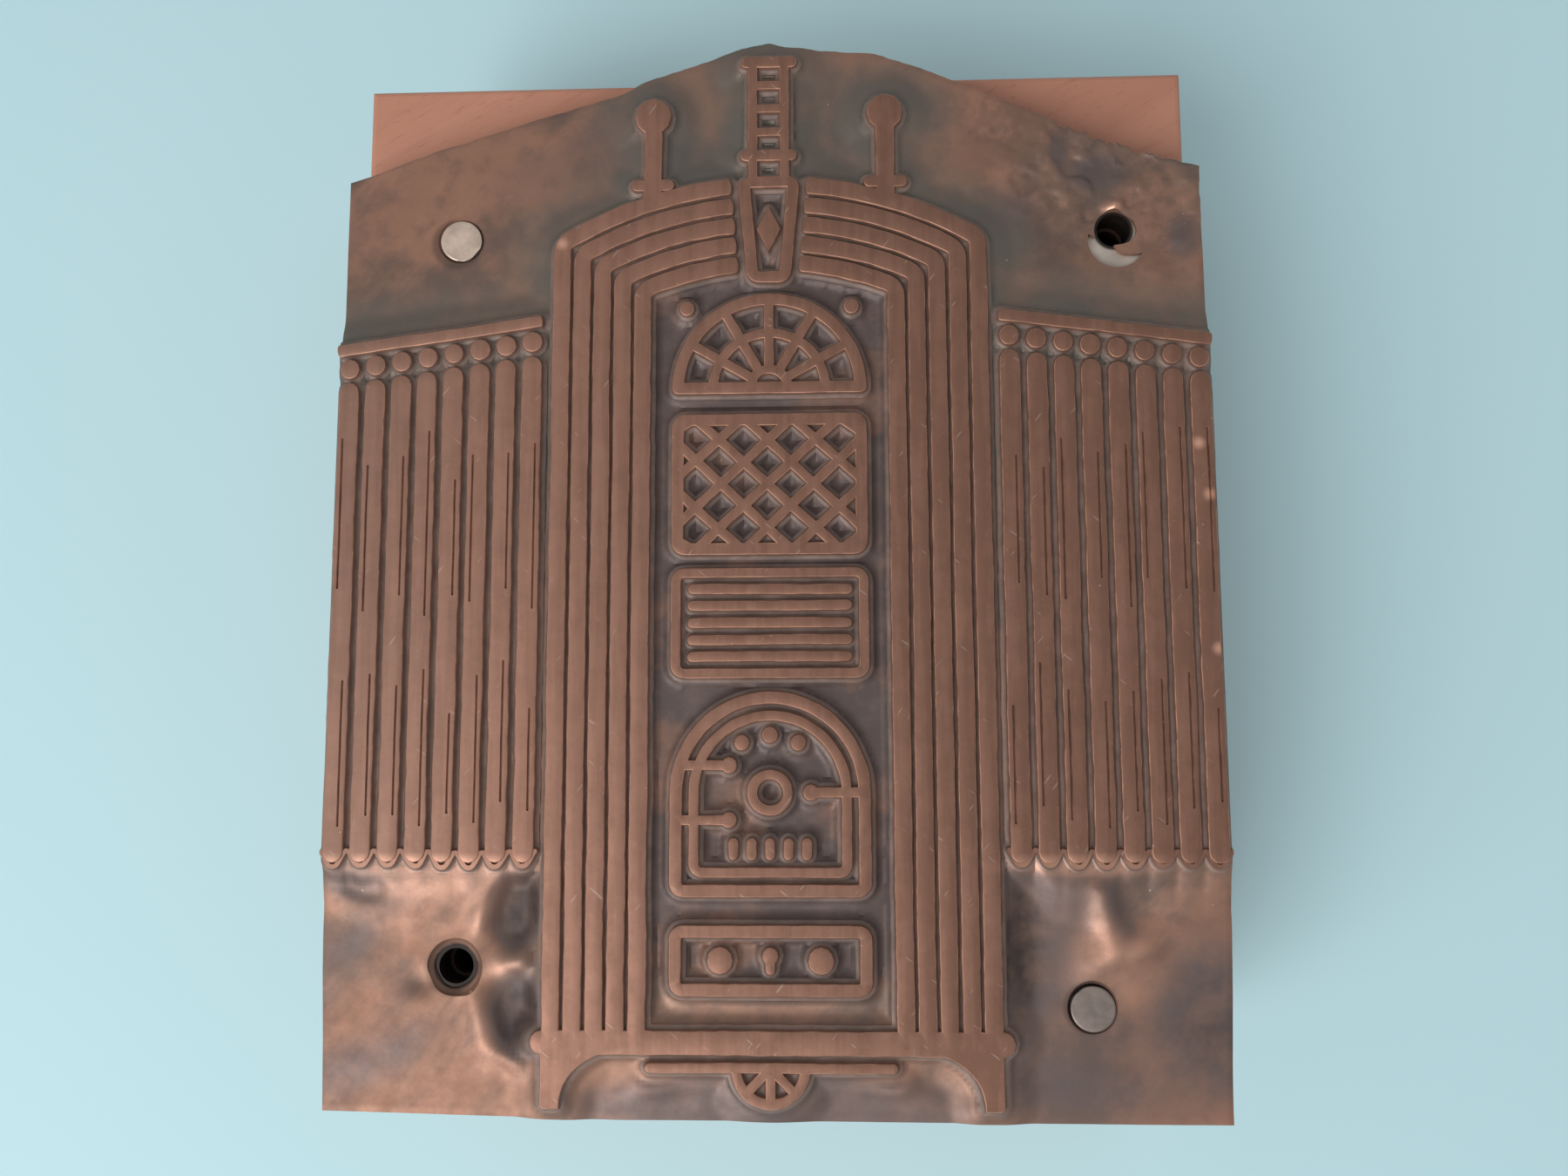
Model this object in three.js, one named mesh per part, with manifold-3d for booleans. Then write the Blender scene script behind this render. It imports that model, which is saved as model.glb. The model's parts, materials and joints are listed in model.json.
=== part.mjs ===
import * as THREE from "three";
import { mergeVertices } from "three/addons/utils/BufferGeometryUtils.js";
import Module from "manifold-3d";

// A letterpress printing block: a copper electrotype, backed with cast metal and nailed on wood.
// Millimetres. The block lies on its foot with the printing face up: +X is the picture's right,
// +Y its head, +Z out of the face, and the origin lies under the middle of the block.

// Overall sizes
const TYPE_HEIGHT = 23.3; // foot to printing face, the height that every block in a forme shares
const PLATE_WIDTH = 57;
const PLATE_LENGTH = 70.3; // foot edge to the apex of the gable
const PLATE_THICKNESS = 3.86; // wood to printing face
const GABLE_RISE = 9.3;
const WOOD_SIDE_INSET = 0.2;
const APEX_OVERHANG = 1.3; // the apex stands this far past the wood
const WOOD_EDGE = 0.4;

// The electrotype: copper shell over cast backing metal
const SHELL_WALL = 0.35;
const RELIEF_DEPTH = 1.15; // printing face to waste
const COLUMN_DEPTH = 0.7; // printing face to the open ground of the column
const GROOVE_DEPTH = 0.38; // printing face to the floor between printing lines
const FACE_SHOULDER = 0.08; // the lines widen this much towards their floor
const FACE_SHOULDER_DROP = 0.25;
const BANK_SHOULDER = 0.5; // the banks widen this much towards the waste
const BACKING_PAD_INSET = 0.65;
const BACKING_PAD_CLEARANCE = 0.05;

// Nails and their seats
const NAIL_HEAD_DIAMETER = 2.8;
const NAIL_HEAD_THICKNESS = 0.6;
const NAIL_HEAD_ROUND = 0.12;
const NAIL_SHANK_DIAMETER = 1.6;
const NAIL_LENGTH = 14;
const NAIL_POINT = 1.8;
const NAIL_FIT = 0.1; // side clearance of a shank in the wood
const SEAT_CLEARANCE = 0.25; // side clearance of a head in its seat
const SEAT_DEPTH = 0.5; // waste to the ledge under the head
const PLATE_HOLE_DIAMETER = 2.2;
const SLIP_SEAT_DIAMETER = 4; // the seat that the drill cut off centre at the empty top right hole
const SLIP_SEAT_OFFSET = 0.6;

// Printing lines of the picture
const LINE = 0.55;
const FRAME_LINE = 0.7;
const LINE_GAP = 0.5;
const BODY_RIB_PITCH = 1.3;
const BODY_RIB_GROOVE = 0.35;
const WING_RIB_PITCH = 1.75;
const WING_RIB_GROOVE = 0.6;
const CORNER = 0.9;
const STUD_DIAMETER = 1.5;
const RIVET_DIAMETER = 0.9;
const RING_DIAMETER = 2.8;
const BEAD_GAP = 0.35; // between a wing rib, the bead over it and the cornice
const KEYSTONE_HALF = 2; // at its head
const KEYSTONE_TAPER = 0.6; // narrower by this much a side at its foot
const KEYSTONE_DROP = 0.5; // its foot hangs this far into the column
const LOZENGE_HALF = 0.75;
const FAN_BARS = 5;
const HALO_SHARE = 0.58; // the fan's inner ring
const LOUVRES = 5;
const LATTICE_STEPS = 4;
const VENTS = 5;
const VENT_PITCH = 1.15;
const VENT_LENGTH = 1.3;
const STRAP = 3; // length of the door's hinges and latch inside the outer frame
const STRAP_STEP = 1.7; // from the ring up or down to a hinge
const FLUE_BANDS = 3;
const SCALLOP_RADIUS = 2.4;
const SCALLOP_RAYS = 3;

const OVERRUN = 1; // how far a cutter runs past what it cuts
const WELD = 1e-4;
const ROUND_SIDES = 32;
const END_STEPS = 3; // steps on the ends of bars and on corners
const STUD_STEPS = 5;
const ARCH_STEPS = 8;

// Places on the plate, as shares of its half width and of its length from the foot edge
const GABLE_SHARES = [
  [0.95, 0.05], [0.81, 0.21], [0.67, 0.37], [0.56, 0.52], [0.44, 0.68], [0.355, 0.79],
  [0.25, 0.905], [0.035, 0.96], [0, 1], [-0.085, 0.935], [-0.19, 0.83], [-0.29, 0.735],
  [-0.345, 0.64], [-0.57, 0.44], [-0.67, 0.345], [-0.8, 0.225], [-0.95, 0.05],
];
const FOOT_SHARES = [[-1, 0.006], [-0.33, 0], [1, 0]]; // the foot edge rises at its left corner
const HOLE_SHARES = {
  top_left: [-0.729, 0.807],
  top_right: [0.8, 0.808],
  bottom_left: [-0.701, 0.131],
  bottom_right: [0.697, 0.097],
};
const BODY_HALF_SHARE = 0.497;
const BODY_SHOULDER_SHARE = 0.8;
const BODY_CROWN_SHARE = 0.858;
const BODY_FOOT_SHARE = 0.07;
const COLUMN_HALF_SHARE = 0.262;
const COLUMN_FOOT_SHARE = 0.085;
const WING_INNER_HEAD_SHARE = 0.727;
const WING_OUTER_HEAD_SHARE = 0.7;
const WING_FOOT_SHARE = 0.225;
const WING_INNER_SHARE = 0.515;
const FAN_SHARE = 0.655;
const LATTICE_SHARES = [0.5, 0.63];
const LOUVRE_SHARES = [0.388, 0.487];
const DOOR_SHARES = [0.195, 0.375];
const DRAWER_SHARES = [0.11, 0.17];
const FLUE_TOP_SHARE = 0.972;
const FINIAL_TOP_SHARE = 0.92;
const FINIAL_PLACE_SHARE = 0.27;

const wood = new THREE.MeshStandardMaterial({ color: 0xb5805f, roughness: 0.75, metalness: 0 });
const backing = new THREE.MeshStandardMaterial({ color: 0xb9b3a8, roughness: 0.5, metalness: 0.9 });
const copper = new THREE.MeshStandardMaterial({ color: 0x8f5d49, roughness: 0.45, metalness: 0.9 });
const steel = new THREE.MeshStandardMaterial({ color: 0xa79d90, roughness: 0.4, metalness: 0.9 });

const halfWidth = PLATE_WIDTH / 2;
const footY = -PLATE_LENGTH / 2;
const across = (share) => share * halfWidth;
const up = (share) => footY + share * PLATE_LENGTH;

const woodTop = TYPE_HEIGHT - PLATE_THICKNESS;
const wasteZ = TYPE_HEIGHT - RELIEF_DEPTH;
const shellFoot = wasteZ - SHELL_WALL;
const columnZ = TYPE_HEIGHT - COLUMN_DEPTH;
const grooveZ = TYPE_HEIGHT - GROOVE_DEPTH;

const wasm = await Module();
wasm.setup();

function solidOf(geometry) {
  const bare = geometry.index ? geometry.toNonIndexed() : geometry.clone();
  bare.deleteAttribute("normal");
  bare.deleteAttribute("uv");
  const merged = mergeVertices(bare, WELD);
  return new wasm.Manifold(
    new wasm.Mesh({
      numProp: 3,
      vertProperties: merged.attributes.position.array,
      triVerts: new Uint32Array(merged.index.array),
    }),
  );
}

function meshOf(name, solid, material) {
  const made = solid.getMesh();
  const geometry = new THREE.BufferGeometry();
  geometry.setAttribute("position", new THREE.BufferAttribute(made.vertProperties, made.numProp));
  geometry.setIndex(new THREE.BufferAttribute(made.triVerts, 1));
  geometry.computeVertexNormals();
  const mesh = new THREE.Mesh(geometry, material);
  mesh.name = name;
  return mesh;
}

const joined = (solids) => solids.reduce((all, one) => all.add(one));

// A straight prism of a flat outline between two heights.
function prism(shape, low, high) {
  const geometry = new THREE.ExtrudeGeometry(shape, {
    depth: high - low,
    bevelEnabled: false,
    curveSegments: ARCH_STEPS,
  });
  return solidOf(geometry.translate(0, 0, low));
}

// A raised form whose top is the outline and whose sides flare by shoulder over the drop below it.
function raised(shape, low, high, shoulder, drop, steps) {
  const geometry = new THREE.ExtrudeGeometry(shape, {
    depth: high - low - drop,
    bevelThickness: drop,
    bevelSize: shoulder,
    bevelSegments: 1,
    curveSegments: steps,
  });
  return solidOf(geometry.translate(0, 0, low));
}

// A printing line, flat at the printing face.
const line = (shape, steps = END_STEPS) =>
  raised(shape, wasteZ, TYPE_HEIGHT, FACE_SHOULDER, FACE_SHOULDER_DROP, steps);

function roundHole(x, y, diameter, low, high) {
  const radius = diameter / 2;
  const geometry = new THREE.CylinderGeometry(radius, radius, high - low, ROUND_SIDES);
  geometry.rotateX(Math.PI / 2);
  return solidOf(geometry.translate(x, y, (low + high) / 2));
}

// Outlines
function polygon(points) {
  return new THREE.Shape(points.map(([x, y]) => new THREE.Vector2(x, y)));
}

function roundedBox(left, bottom, right, top, radius) {
  const shape = new THREE.Shape();
  shape.moveTo(left + radius, bottom);
  shape.lineTo(right - radius, bottom);
  shape.absarc(right - radius, bottom + radius, radius, -Math.PI / 2, 0);
  shape.absarc(right - radius, top - radius, radius, 0, Math.PI / 2);
  shape.absarc(left + radius, top - radius, radius, Math.PI / 2, Math.PI);
  shape.absarc(left + radius, bottom + radius, radius, Math.PI, 1.5 * Math.PI);
  return shape;
}

// A frame: a rounded box with a smaller one cut out of it, a line's width inside.
function boxFrame(left, bottom, right, top, width) {
  const shape = roundedBox(left, bottom, right, top, CORNER);
  const inner = CORNER - width / 2;
  const hole = roundedBox(left + width, bottom + width, right - width, top - width, inner);
  shape.holes.push(new THREE.Path(hole.getPoints(END_STEPS).reverse()));
  return shape;
}

// A round-ended bar from one point to another.
function bar(x0, y0, x1, y1, width) {
  const angle = Math.atan2(y1 - y0, x1 - x0);
  const radius = width / 2;
  const shape = new THREE.Shape();
  shape.absarc(x1, y1, radius, angle - Math.PI / 2, angle + Math.PI / 2);
  shape.absarc(x0, y0, radius, angle + Math.PI / 2, angle + 1.5 * Math.PI);
  return shape;
}

// A sector of a ring about a centre.
function ringSector(x, y, outer, inner, from, to) {
  const shape = new THREE.Shape();
  shape.absarc(x, y, outer, from, to);
  shape.absarc(x, y, inner, to, from, true);
  return shape;
}

function disc(x, y, diameter) {
  return new THREE.Shape().absarc(x, y, diameter / 2, 0, 2 * Math.PI);
}

function ringOf(x, y, diameter, width) {
  const shape = disc(x, y, diameter);
  shape.holes.push(new THREE.Path().absarc(x, y, diameter / 2 - width, 0, 2 * Math.PI, true));
  return shape;
}

// The plate's outline: square at the foot, a low uneven gable at the head.
function plateOutline() {
  const eaves = up(1) - GABLE_RISE;
  const gable = GABLE_SHARES.map(([x, y]) => [across(x), eaves + y * GABLE_RISE]);
  const foot = FOOT_SHARES.map(([x, y]) => [across(x), up(y)]);
  return polygon([...foot, [halfWidth, eaves], ...gable, [-halfWidth, eaves]]);
}

// The picture's body: upright sides under one shallow arch, drawn in from its edge by inset.
const bodyHalf = across(BODY_HALF_SHARE);
const columnHalf = across(COLUMN_HALF_SHARE);
const archRise = (BODY_CROWN_SHARE - BODY_SHOULDER_SHARE) * PLATE_LENGTH;
const archRadius = (bodyHalf * bodyHalf + archRise * archRise) / (2 * archRise);
const archCentre = up(BODY_CROWN_SHARE) - archRadius;

function archSpan(inset) {
  const half = bodyHalf - inset;
  const radius = archRadius - inset;
  const turn = Math.asin(half / radius);
  return { half, radius, from: Math.PI / 2 - turn, to: Math.PI / 2 + turn };
}

function bodyOutline(inset, foot) {
  const { half, radius, from, to } = archSpan(inset);
  const shape = new THREE.Shape();
  shape.moveTo(-half, foot);
  shape.lineTo(half, foot);
  shape.absarc(0, archCentre, radius, from, to);
  return shape;
}

// One rib of the body: up one side, over the arch and down the other.
function bodyRib(outerInset, innerInset, foot) {
  const outer = archSpan(outerInset);
  const inner = archSpan(innerInset);
  const shape = new THREE.Shape();
  shape.moveTo(inner.half, foot);
  shape.lineTo(outer.half, foot);
  shape.absarc(0, archCentre, outer.radius, outer.from, outer.to);
  shape.lineTo(-outer.half, foot);
  shape.lineTo(-inner.half, foot);
  shape.absarc(0, archCentre, inner.radius, inner.to, inner.from, true);
  return shape;
}

// The keystone's outline, from the crown down through all the ribs, larger all round by grow.
function keystone(grow) {
  const high = up(BODY_CROWN_SHARE) + grow;
  const low = high - grow - (bodyHalf - columnHalf) - KEYSTONE_DROP - grow;
  const head = KEYSTONE_HALF + grow;
  const foot = KEYSTONE_HALF - KEYSTONE_TAPER + grow;
  return [[-foot, low], [foot, low], [head, high], [-head, high]];
}

// Nested ribs that end short of a framed keystone with a lozenge in it.
function bodyRibs() {
  const columnEdge = bodyHalf - columnHalf;
  const count = Math.max(1, Math.round(columnEdge / BODY_RIB_PITCH));
  const pitch = columnEdge / count;
  const foot = up(BODY_FOOT_SHARE);
  const ribs = [];
  for (let i = 0; i < count; i++)
    ribs.push(line(bodyRib(i * pitch, (i + 1) * pitch - BODY_RIB_GROOVE, foot), ARCH_STEPS));
  const gap = prism(polygon(keystone(LINE_GAP)), grooveZ, TYPE_HEIGHT + OVERRUN);
  const frame = polygon(keystone(0));
  frame.holes.push(new THREE.Path(polygon(keystone(-FRAME_LINE)).getPoints().reverse()));
  const middle = up(BODY_CROWN_SHARE) - (columnEdge + KEYSTONE_DROP) / 2;
  const lozenge = polygon([
    [0, middle - 2 * LOZENGE_HALF],
    [LOZENGE_HALF, middle],
    [0, middle + 2 * LOZENGE_HALF],
    [-LOZENGE_HALF, middle],
  ]);
  return [joined(ribs).subtract(gap), line(frame), line(lozenge)];
}

// A wing of upright ribs at each side of the body, its head sloping down to the plate's edge.
function wingHead(x) {
  const inner = across(WING_INNER_SHARE);
  const share = (Math.abs(x) - inner) / (halfWidth - inner);
  return up(WING_INNER_HEAD_SHARE + share * (WING_OUTER_HEAD_SHARE - WING_INNER_HEAD_SHARE));
}

function wingOutline(side, inset, outerEdge) {
  const inner = side * (across(WING_INNER_SHARE) + inset);
  const outer = side * outerEdge;
  const foot = up(WING_FOOT_SHARE) + inset;
  const points = [
    [inner, foot],
    [outer, foot],
    [outer, wingHead(outer) - inset],
    [inner, wingHead(inner) - inset],
  ];
  return polygon(side > 0 ? points : points.reverse());
}

// Under a sloping cornice, one bead over each round-ended rib.
function wingRibs(side) {
  const inner = across(WING_INNER_SHARE);
  const count = Math.max(1, Math.round((halfWidth - inner) / WING_RIB_PITCH));
  const pitch = (halfWidth - inner) / count;
  const width = pitch - WING_RIB_GROOVE;
  const half = FRAME_LINE / 2;
  const [near, far] = [side * (inner + half), side * (halfWidth + OVERRUN)];
  const parts = [line(bar(near, wingHead(near) - half, far, wingHead(far) - half, FRAME_LINE))];
  for (let i = 0; i < count; i++) {
    const x = side * (inner + (i + 0.5) * pitch);
    const foot = up(WING_FOOT_SHARE) + width / 2;
    const bead = wingHead(x) - FRAME_LINE - BEAD_GAP - width / 2;
    parts.push(line(disc(x, bead, width), STUD_STEPS));
    parts.push(line(bar(x, foot, x, bead - BEAD_GAP - width, width)));
  }
  return parts;
}

// The column's furniture, from head to foot
const panelHalf = columnHalf - LINE_GAP - FRAME_LINE;

// A half ring with a halo, a hub and spread bars on a level bar, and a rivet in each spandrel.
function fan() {
  const y = up(FAN_SHARE);
  const outer = panelHalf;
  const halo = outer * HALO_SHARE;
  const hub = STUD_DIAMETER;
  const parts = [
    line(ringSector(0, y, outer, outer - FRAME_LINE, 0, Math.PI), ARCH_STEPS),
    line(ringSector(0, y, halo + LINE / 2, halo - LINE / 2, 0, Math.PI), STUD_STEPS),
    line(ringSector(0, y, hub, hub - LINE, 0, Math.PI)),
    line(bar(-outer + FRAME_LINE / 2, y, outer - FRAME_LINE / 2, y, FRAME_LINE)),
  ];
  for (let i = 1; i <= FAN_BARS; i++) {
    const angle = (i * Math.PI) / (FAN_BARS + 1);
    const reach = outer - FRAME_LINE / 2;
    const [c, s] = [Math.cos(angle), Math.sin(angle)];
    parts.push(line(bar(hub * c, y + hub * s, reach * c, y + reach * s, LINE)));
  }
  const rivet = outer - RIVET_DIAMETER;
  for (const x of [-rivet, rivet]) parts.push(line(disc(x, y + rivet, RIVET_DIAMETER), STUD_STEPS));
  return parts;
}

// A lattice of crossing bars, cut to the inside of its frame.
function lattice() {
  const [low, high] = LATTICE_SHARES.map(up);
  const frame = line(boxFrame(-panelHalf, low, panelHalf, high, FRAME_LINE));
  const window = polygon([
    [-panelHalf + FRAME_LINE / 2, low + FRAME_LINE / 2],
    [panelHalf - FRAME_LINE / 2, low + FRAME_LINE / 2],
    [panelHalf - FRAME_LINE / 2, high - FRAME_LINE / 2],
    [-panelHalf + FRAME_LINE / 2, high - FRAME_LINE / 2],
  ]);
  const height = high - low;
  const step = (2 * panelHalf) / LATTICE_STEPS;
  const bars = [];
  for (let i = -LATTICE_STEPS; i < 2 * LATTICE_STEPS; i++) {
    const x = -panelHalf + (i + 0.5) * step;
    bars.push(line(bar(x, low, x + height, high, LINE)));
    bars.push(line(bar(x, high, x + height, low, LINE)));
  }
  return [frame, joined(bars).intersect(prism(window, shellFoot, TYPE_HEIGHT))];
}

// Level round-ended bars in a thin frame.
function louvres() {
  const [low, high] = LOUVRE_SHARES.map(up);
  const border = LINE + LINE_GAP / 2;
  const step = (high - low - 2 * border) / LOUVRES;
  const width = step - LINE_GAP;
  const reach = panelHalf - LINE - LINE_GAP - width / 2;
  const parts = [line(boxFrame(-panelHalf, low, panelHalf, high, LINE))];
  for (let i = 0; i < LOUVRES; i++) {
    const y = low + border + (i + 0.5) * step;
    parts.push(line(bar(-reach, y, reach, y, width)));
  }
  return parts;
}

// One frame of the arched door: upright sides under a half circle.
function doorFrame(inset, width, low, high) {
  const half = panelHalf - inset;
  const spring = high - panelHalf;
  const inner = half - width;
  const shape = new THREE.Shape();
  shape.moveTo(-half, low + inset);
  shape.lineTo(half, low + inset);
  shape.absarc(0, spring, half, 0, Math.PI);
  const hole = new THREE.Path();
  hole.moveTo(-inner, low + inset + width);
  hole.lineTo(-inner, spring);
  hole.absarc(0, spring, inner, Math.PI, 0, true);
  hole.lineTo(inner, low + inset + width);
  shape.holes.push(hole);
  return shape;
}

// A strap that runs in from the door's outer frame to a rivet.
function strap(side, y) {
  const reach = panelHalf - FRAME_LINE;
  return [
    line(bar(side * reach, y, side * (reach - STRAP), y, LINE)),
    line(disc(side * (reach - STRAP), y, RIVET_DIAMETER), STUD_STEPS),
  ];
}

// An arched door: two nested frames round an open ground with a ring handle, two hinges and a
// latch, three rivets in its head and a row of vents at its foot.
function door() {
  const [low, high] = DOOR_SHARES.map(up);
  const nested = FRAME_LINE + LINE_GAP;
  const spring = high - panelHalf;
  const parts = [
    line(doorFrame(0, FRAME_LINE, low, high), ARCH_STEPS),
    line(doorFrame(nested, LINE, low, high), ARCH_STEPS),
    line(ringOf(0, spring, RING_DIAMETER, LINE), ARCH_STEPS),
    ...strap(-1, spring - STRAP_STEP),
    ...strap(-1, spring + STRAP_STEP),
    ...strap(1, spring),
  ];
  const reach = panelHalf - nested - STUD_DIAMETER;
  for (const angle of [Math.PI / 3, Math.PI / 2, (2 * Math.PI) / 3]) {
    const [x, y] = [reach * Math.cos(angle), spring + reach * Math.sin(angle)];
    parts.push(line(disc(x, y, RIVET_DIAMETER), STUD_STEPS));
  }
  const foot = low + nested + LINE + LINE_GAP;
  for (let i = 0; i < VENTS; i++) {
    const x = (i - (VENTS - 1) / 2) * VENT_PITCH;
    parts.push(line(bar(x, foot + LINE / 2, x, foot + VENT_LENGTH - LINE / 2, LINE)));
  }
  return parts;
}

// A framed drawer with two studs and a keyhole plate.
function drawer() {
  const [low, high] = DRAWER_SHARES.map(up);
  const middle = (low + high) / 2;
  const place = panelHalf / 2;
  return [
    line(boxFrame(-panelHalf, low, panelHalf, high, FRAME_LINE)),
    line(disc(-place, middle, STUD_DIAMETER), ARCH_STEPS),
    line(disc(place, middle, STUD_DIAMETER), ARCH_STEPS),
    line(disc(0, middle + LINE / 2, RIVET_DIAMETER), STUD_STEPS),
    line(bar(0, middle, 0, middle - LINE, LINE)),
  ];
}

// A plinth with a bracket foot under each side of the body, and between them a thin rail with a
// scallop that hangs from its middle.
function plinth() {
  const high = up(BODY_FOOT_SHARE);
  const rail = high - FRAME_LINE - LINE_GAP - LINE / 2;
  const hub = RIVET_DIAMETER / 2;
  const drop = high - footY - 2 * LINE_GAP;
  const bracket = (side) => {
    const inner = side * across(COLUMN_HALF_SHARE);
    const outer = side * bodyHalf;
    const shape = new THREE.Shape();
    shape.moveTo(inner, high);
    shape.lineTo(outer, high);
    shape.lineTo(outer, high - drop);
    shape.lineTo(outer - side * 2 * LINE, high - drop);
    shape.quadraticCurveTo(outer - side * 2 * LINE, high - LINE, inner, high);
    return shape;
  };
  const parts = [
    line(bar(-bodyHalf, high, bodyHalf, high, 2 * FRAME_LINE)),
    line(bracket(1), ARCH_STEPS),
    line(bracket(-1), ARCH_STEPS),
    line(bar(-columnHalf, rail, columnHalf, rail, LINE)),
    line(ringSector(0, rail, SCALLOP_RADIUS, SCALLOP_RADIUS - LINE, Math.PI, 2 * Math.PI), STUD_STEPS),
  ];
  for (let i = 1; i <= SCALLOP_RAYS; i++) {
    const angle = Math.PI + (i * Math.PI) / (SCALLOP_RAYS + 1);
    const reach = SCALLOP_RADIUS - LINE / 2;
    const [c, s] = [Math.cos(angle), Math.sin(angle)];
    parts.push(line(bar(hub * c, rail + hub * s, reach * c, rail + reach * s, LINE_GAP)));
  }
  return parts;
}

// Above the arch: a banded flue with two collars up to the apex, and at each side a ball finial
// on a collared stem.
function headpiece() {
  const arch = (x) => archCentre + Math.sqrt(archRadius * archRadius - x * x);
  const top = up(FLUE_TOP_SHARE);
  const collar = STUD_DIAMETER;
  const side = LINE_GAP + LINE;
  const parts = [
    line(bar(-side, arch(0), -side, top, LINE)),
    line(bar(side, arch(0), side, top, LINE)),
    line(bar(-collar, arch(0) + collar, collar, arch(0) + collar, FRAME_LINE)),
    line(bar(-collar, top, collar, top, FRAME_LINE)),
  ];
  const step = (top - arch(0) - collar) / (FLUE_BANDS + 1);
  for (let i = 1; i <= FLUE_BANDS; i++)
    parts.push(line(bar(-side, top - i * step, side, top - i * step, LINE_GAP)));
  for (const x of [-across(FINIAL_PLACE_SHARE), across(FINIAL_PLACE_SHARE)]) {
    const tip = up(FINIAL_TOP_SHARE);
    const neck = arch(x) + FRAME_LINE;
    parts.push(line(bar(x, arch(x), x, tip, 2 * LINE)));
    parts.push(line(disc(x, tip, RING_DIAMETER - LINE), ARCH_STEPS));
    parts.push(line(bar(x - side, neck, x + side, neck, FRAME_LINE)));
  }
  return parts;
}

// The copper shell: waste, banks and printing lines on top, hollow under the banks
const backingPads = (clearance, overrun) => {
  const inset = BACKING_PAD_INSET - clearance;
  const wingTop = grooveZ - SHELL_WALL;
  const bodyTop = columnZ - SHELL_WALL;
  const low = shellFoot - overrun;
  return joined([
    prism(bodyOutline(inset, up(BODY_FOOT_SHARE) + inset), low, bodyTop),
    prism(wingOutline(1, inset, halfWidth - inset), low, wingTop),
    prism(wingOutline(-1, inset, halfWidth - inset), low, wingTop),
  ]);
};

function banks() {
  const bank = (shape, top) =>
    raised(shape, shellFoot, top, BANK_SHOULDER, top - wasteZ, ARCH_STEPS);
  const foot = up(BODY_FOOT_SHARE);
  const column = bodyOutline(bodyHalf - columnHalf, up(COLUMN_FOOT_SHARE));
  const body = bank(bodyOutline(0, foot), grooveZ).subtract(prism(column, columnZ, TYPE_HEIGHT));
  const wing = (side) => bank(wingOutline(side, 0, halfWidth + OVERRUN), grooveZ);
  return [body, wing(1), wing(-1)];
}

function nailSeats() {
  const cuts = [];
  for (const [x, y] of Object.values(HOLE_SHARES).map(([x, y]) => [across(x), up(y)])) {
    const seat = NAIL_HEAD_DIAMETER + 2 * SEAT_CLEARANCE;
    cuts.push(roundHole(x, y, seat, wasteZ - SEAT_DEPTH, TYPE_HEIGHT + OVERRUN));
    cuts.push(roundHole(x, y, PLATE_HOLE_DIAMETER, woodTop - OVERRUN, TYPE_HEIGHT));
  }
  const [x, y] = HOLE_SHARES.top_right;
  const slip = up(y) - SLIP_SEAT_OFFSET;
  cuts.push(roundHole(across(x), slip, SLIP_SEAT_DIAMETER, wasteZ - SEAT_DEPTH, TYPE_HEIGHT));
  return joined(cuts);
}

function copperFace() {
  const sheet = prism(plateOutline(), shellFoot, wasteZ);
  const picture = joined([
    ...banks(),
    ...bodyRibs(),
    ...wingRibs(1),
    ...wingRibs(-1),
    ...fan(),
    ...lattice(),
    ...louvres(),
    ...door(),
    ...drawer(),
    ...plinth(),
    ...headpiece(),
  ]);
  const trimmed = picture.intersect(prism(plateOutline(), shellFoot, TYPE_HEIGHT + OVERRUN));
  return sheet
    .add(trimmed)
    .subtract(backingPads(BACKING_PAD_CLEARANCE, OVERRUN))
    .subtract(nailSeats());
}

function backingMetal() {
  const slab = prism(plateOutline(), woodTop, shellFoot);
  return slab.add(backingPads(0, SHELL_WALL)).subtract(nailSeats());
}

// The wood: a planed block with eased edges and one pilot hole for each nail
function woodBlock() {
  const half = halfWidth - WOOD_SIDE_INSET;
  const outline = polygon([
    [-half + WOOD_EDGE, footY + WOOD_EDGE],
    [half - WOOD_EDGE, footY + WOOD_EDGE],
    [half - WOOD_EDGE, up(1) - APEX_OVERHANG - WOOD_EDGE],
    [-half + WOOD_EDGE, up(1) - APEX_OVERHANG - WOOD_EDGE],
  ]);
  const geometry = new THREE.ExtrudeGeometry(outline, {
    depth: woodTop - 2 * WOOD_EDGE,
    bevelThickness: WOOD_EDGE,
    bevelSize: WOOD_EDGE,
    bevelSegments: END_STEPS,
  });
  const block = solidOf(geometry.translate(0, 0, WOOD_EDGE));
  const depth = wasteZ - SEAT_DEPTH - NAIL_LENGTH - NAIL_FIT;
  const pilots = Object.values(HOLE_SHARES).map(([x, y]) =>
    roundHole(across(x), up(y), NAIL_SHANK_DIAMETER + 2 * NAIL_FIT, depth, woodTop + OVERRUN),
  );
  return block.subtract(joined(pilots));
}

// A nail, turned about its axis: pointed shank under a flat head that bears on its ledge.
function nail(name) {
  const shank = NAIL_SHANK_DIAMETER / 2;
  const head = NAIL_HEAD_DIAMETER / 2;
  const profile = [
    [0, -NAIL_LENGTH],
    [shank, -NAIL_LENGTH + NAIL_POINT],
    [shank, 0],
    [head, 0],
    [head, NAIL_HEAD_THICKNESS - NAIL_HEAD_ROUND],
    [head - NAIL_HEAD_ROUND, NAIL_HEAD_THICKNESS],
    [0, NAIL_HEAD_THICKNESS],
  ].map(([r, z]) => new THREE.Vector2(r, z));
  const geometry = new THREE.LatheGeometry(profile, ROUND_SIDES).rotateX(Math.PI / 2);
  const [x, y] = HOLE_SHARES[name];
  const turned = solidOf(geometry.translate(across(x), up(y), wasteZ - SEAT_DEPTH));
  return meshOf("nail_" + name, turned, steel);
}

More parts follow.
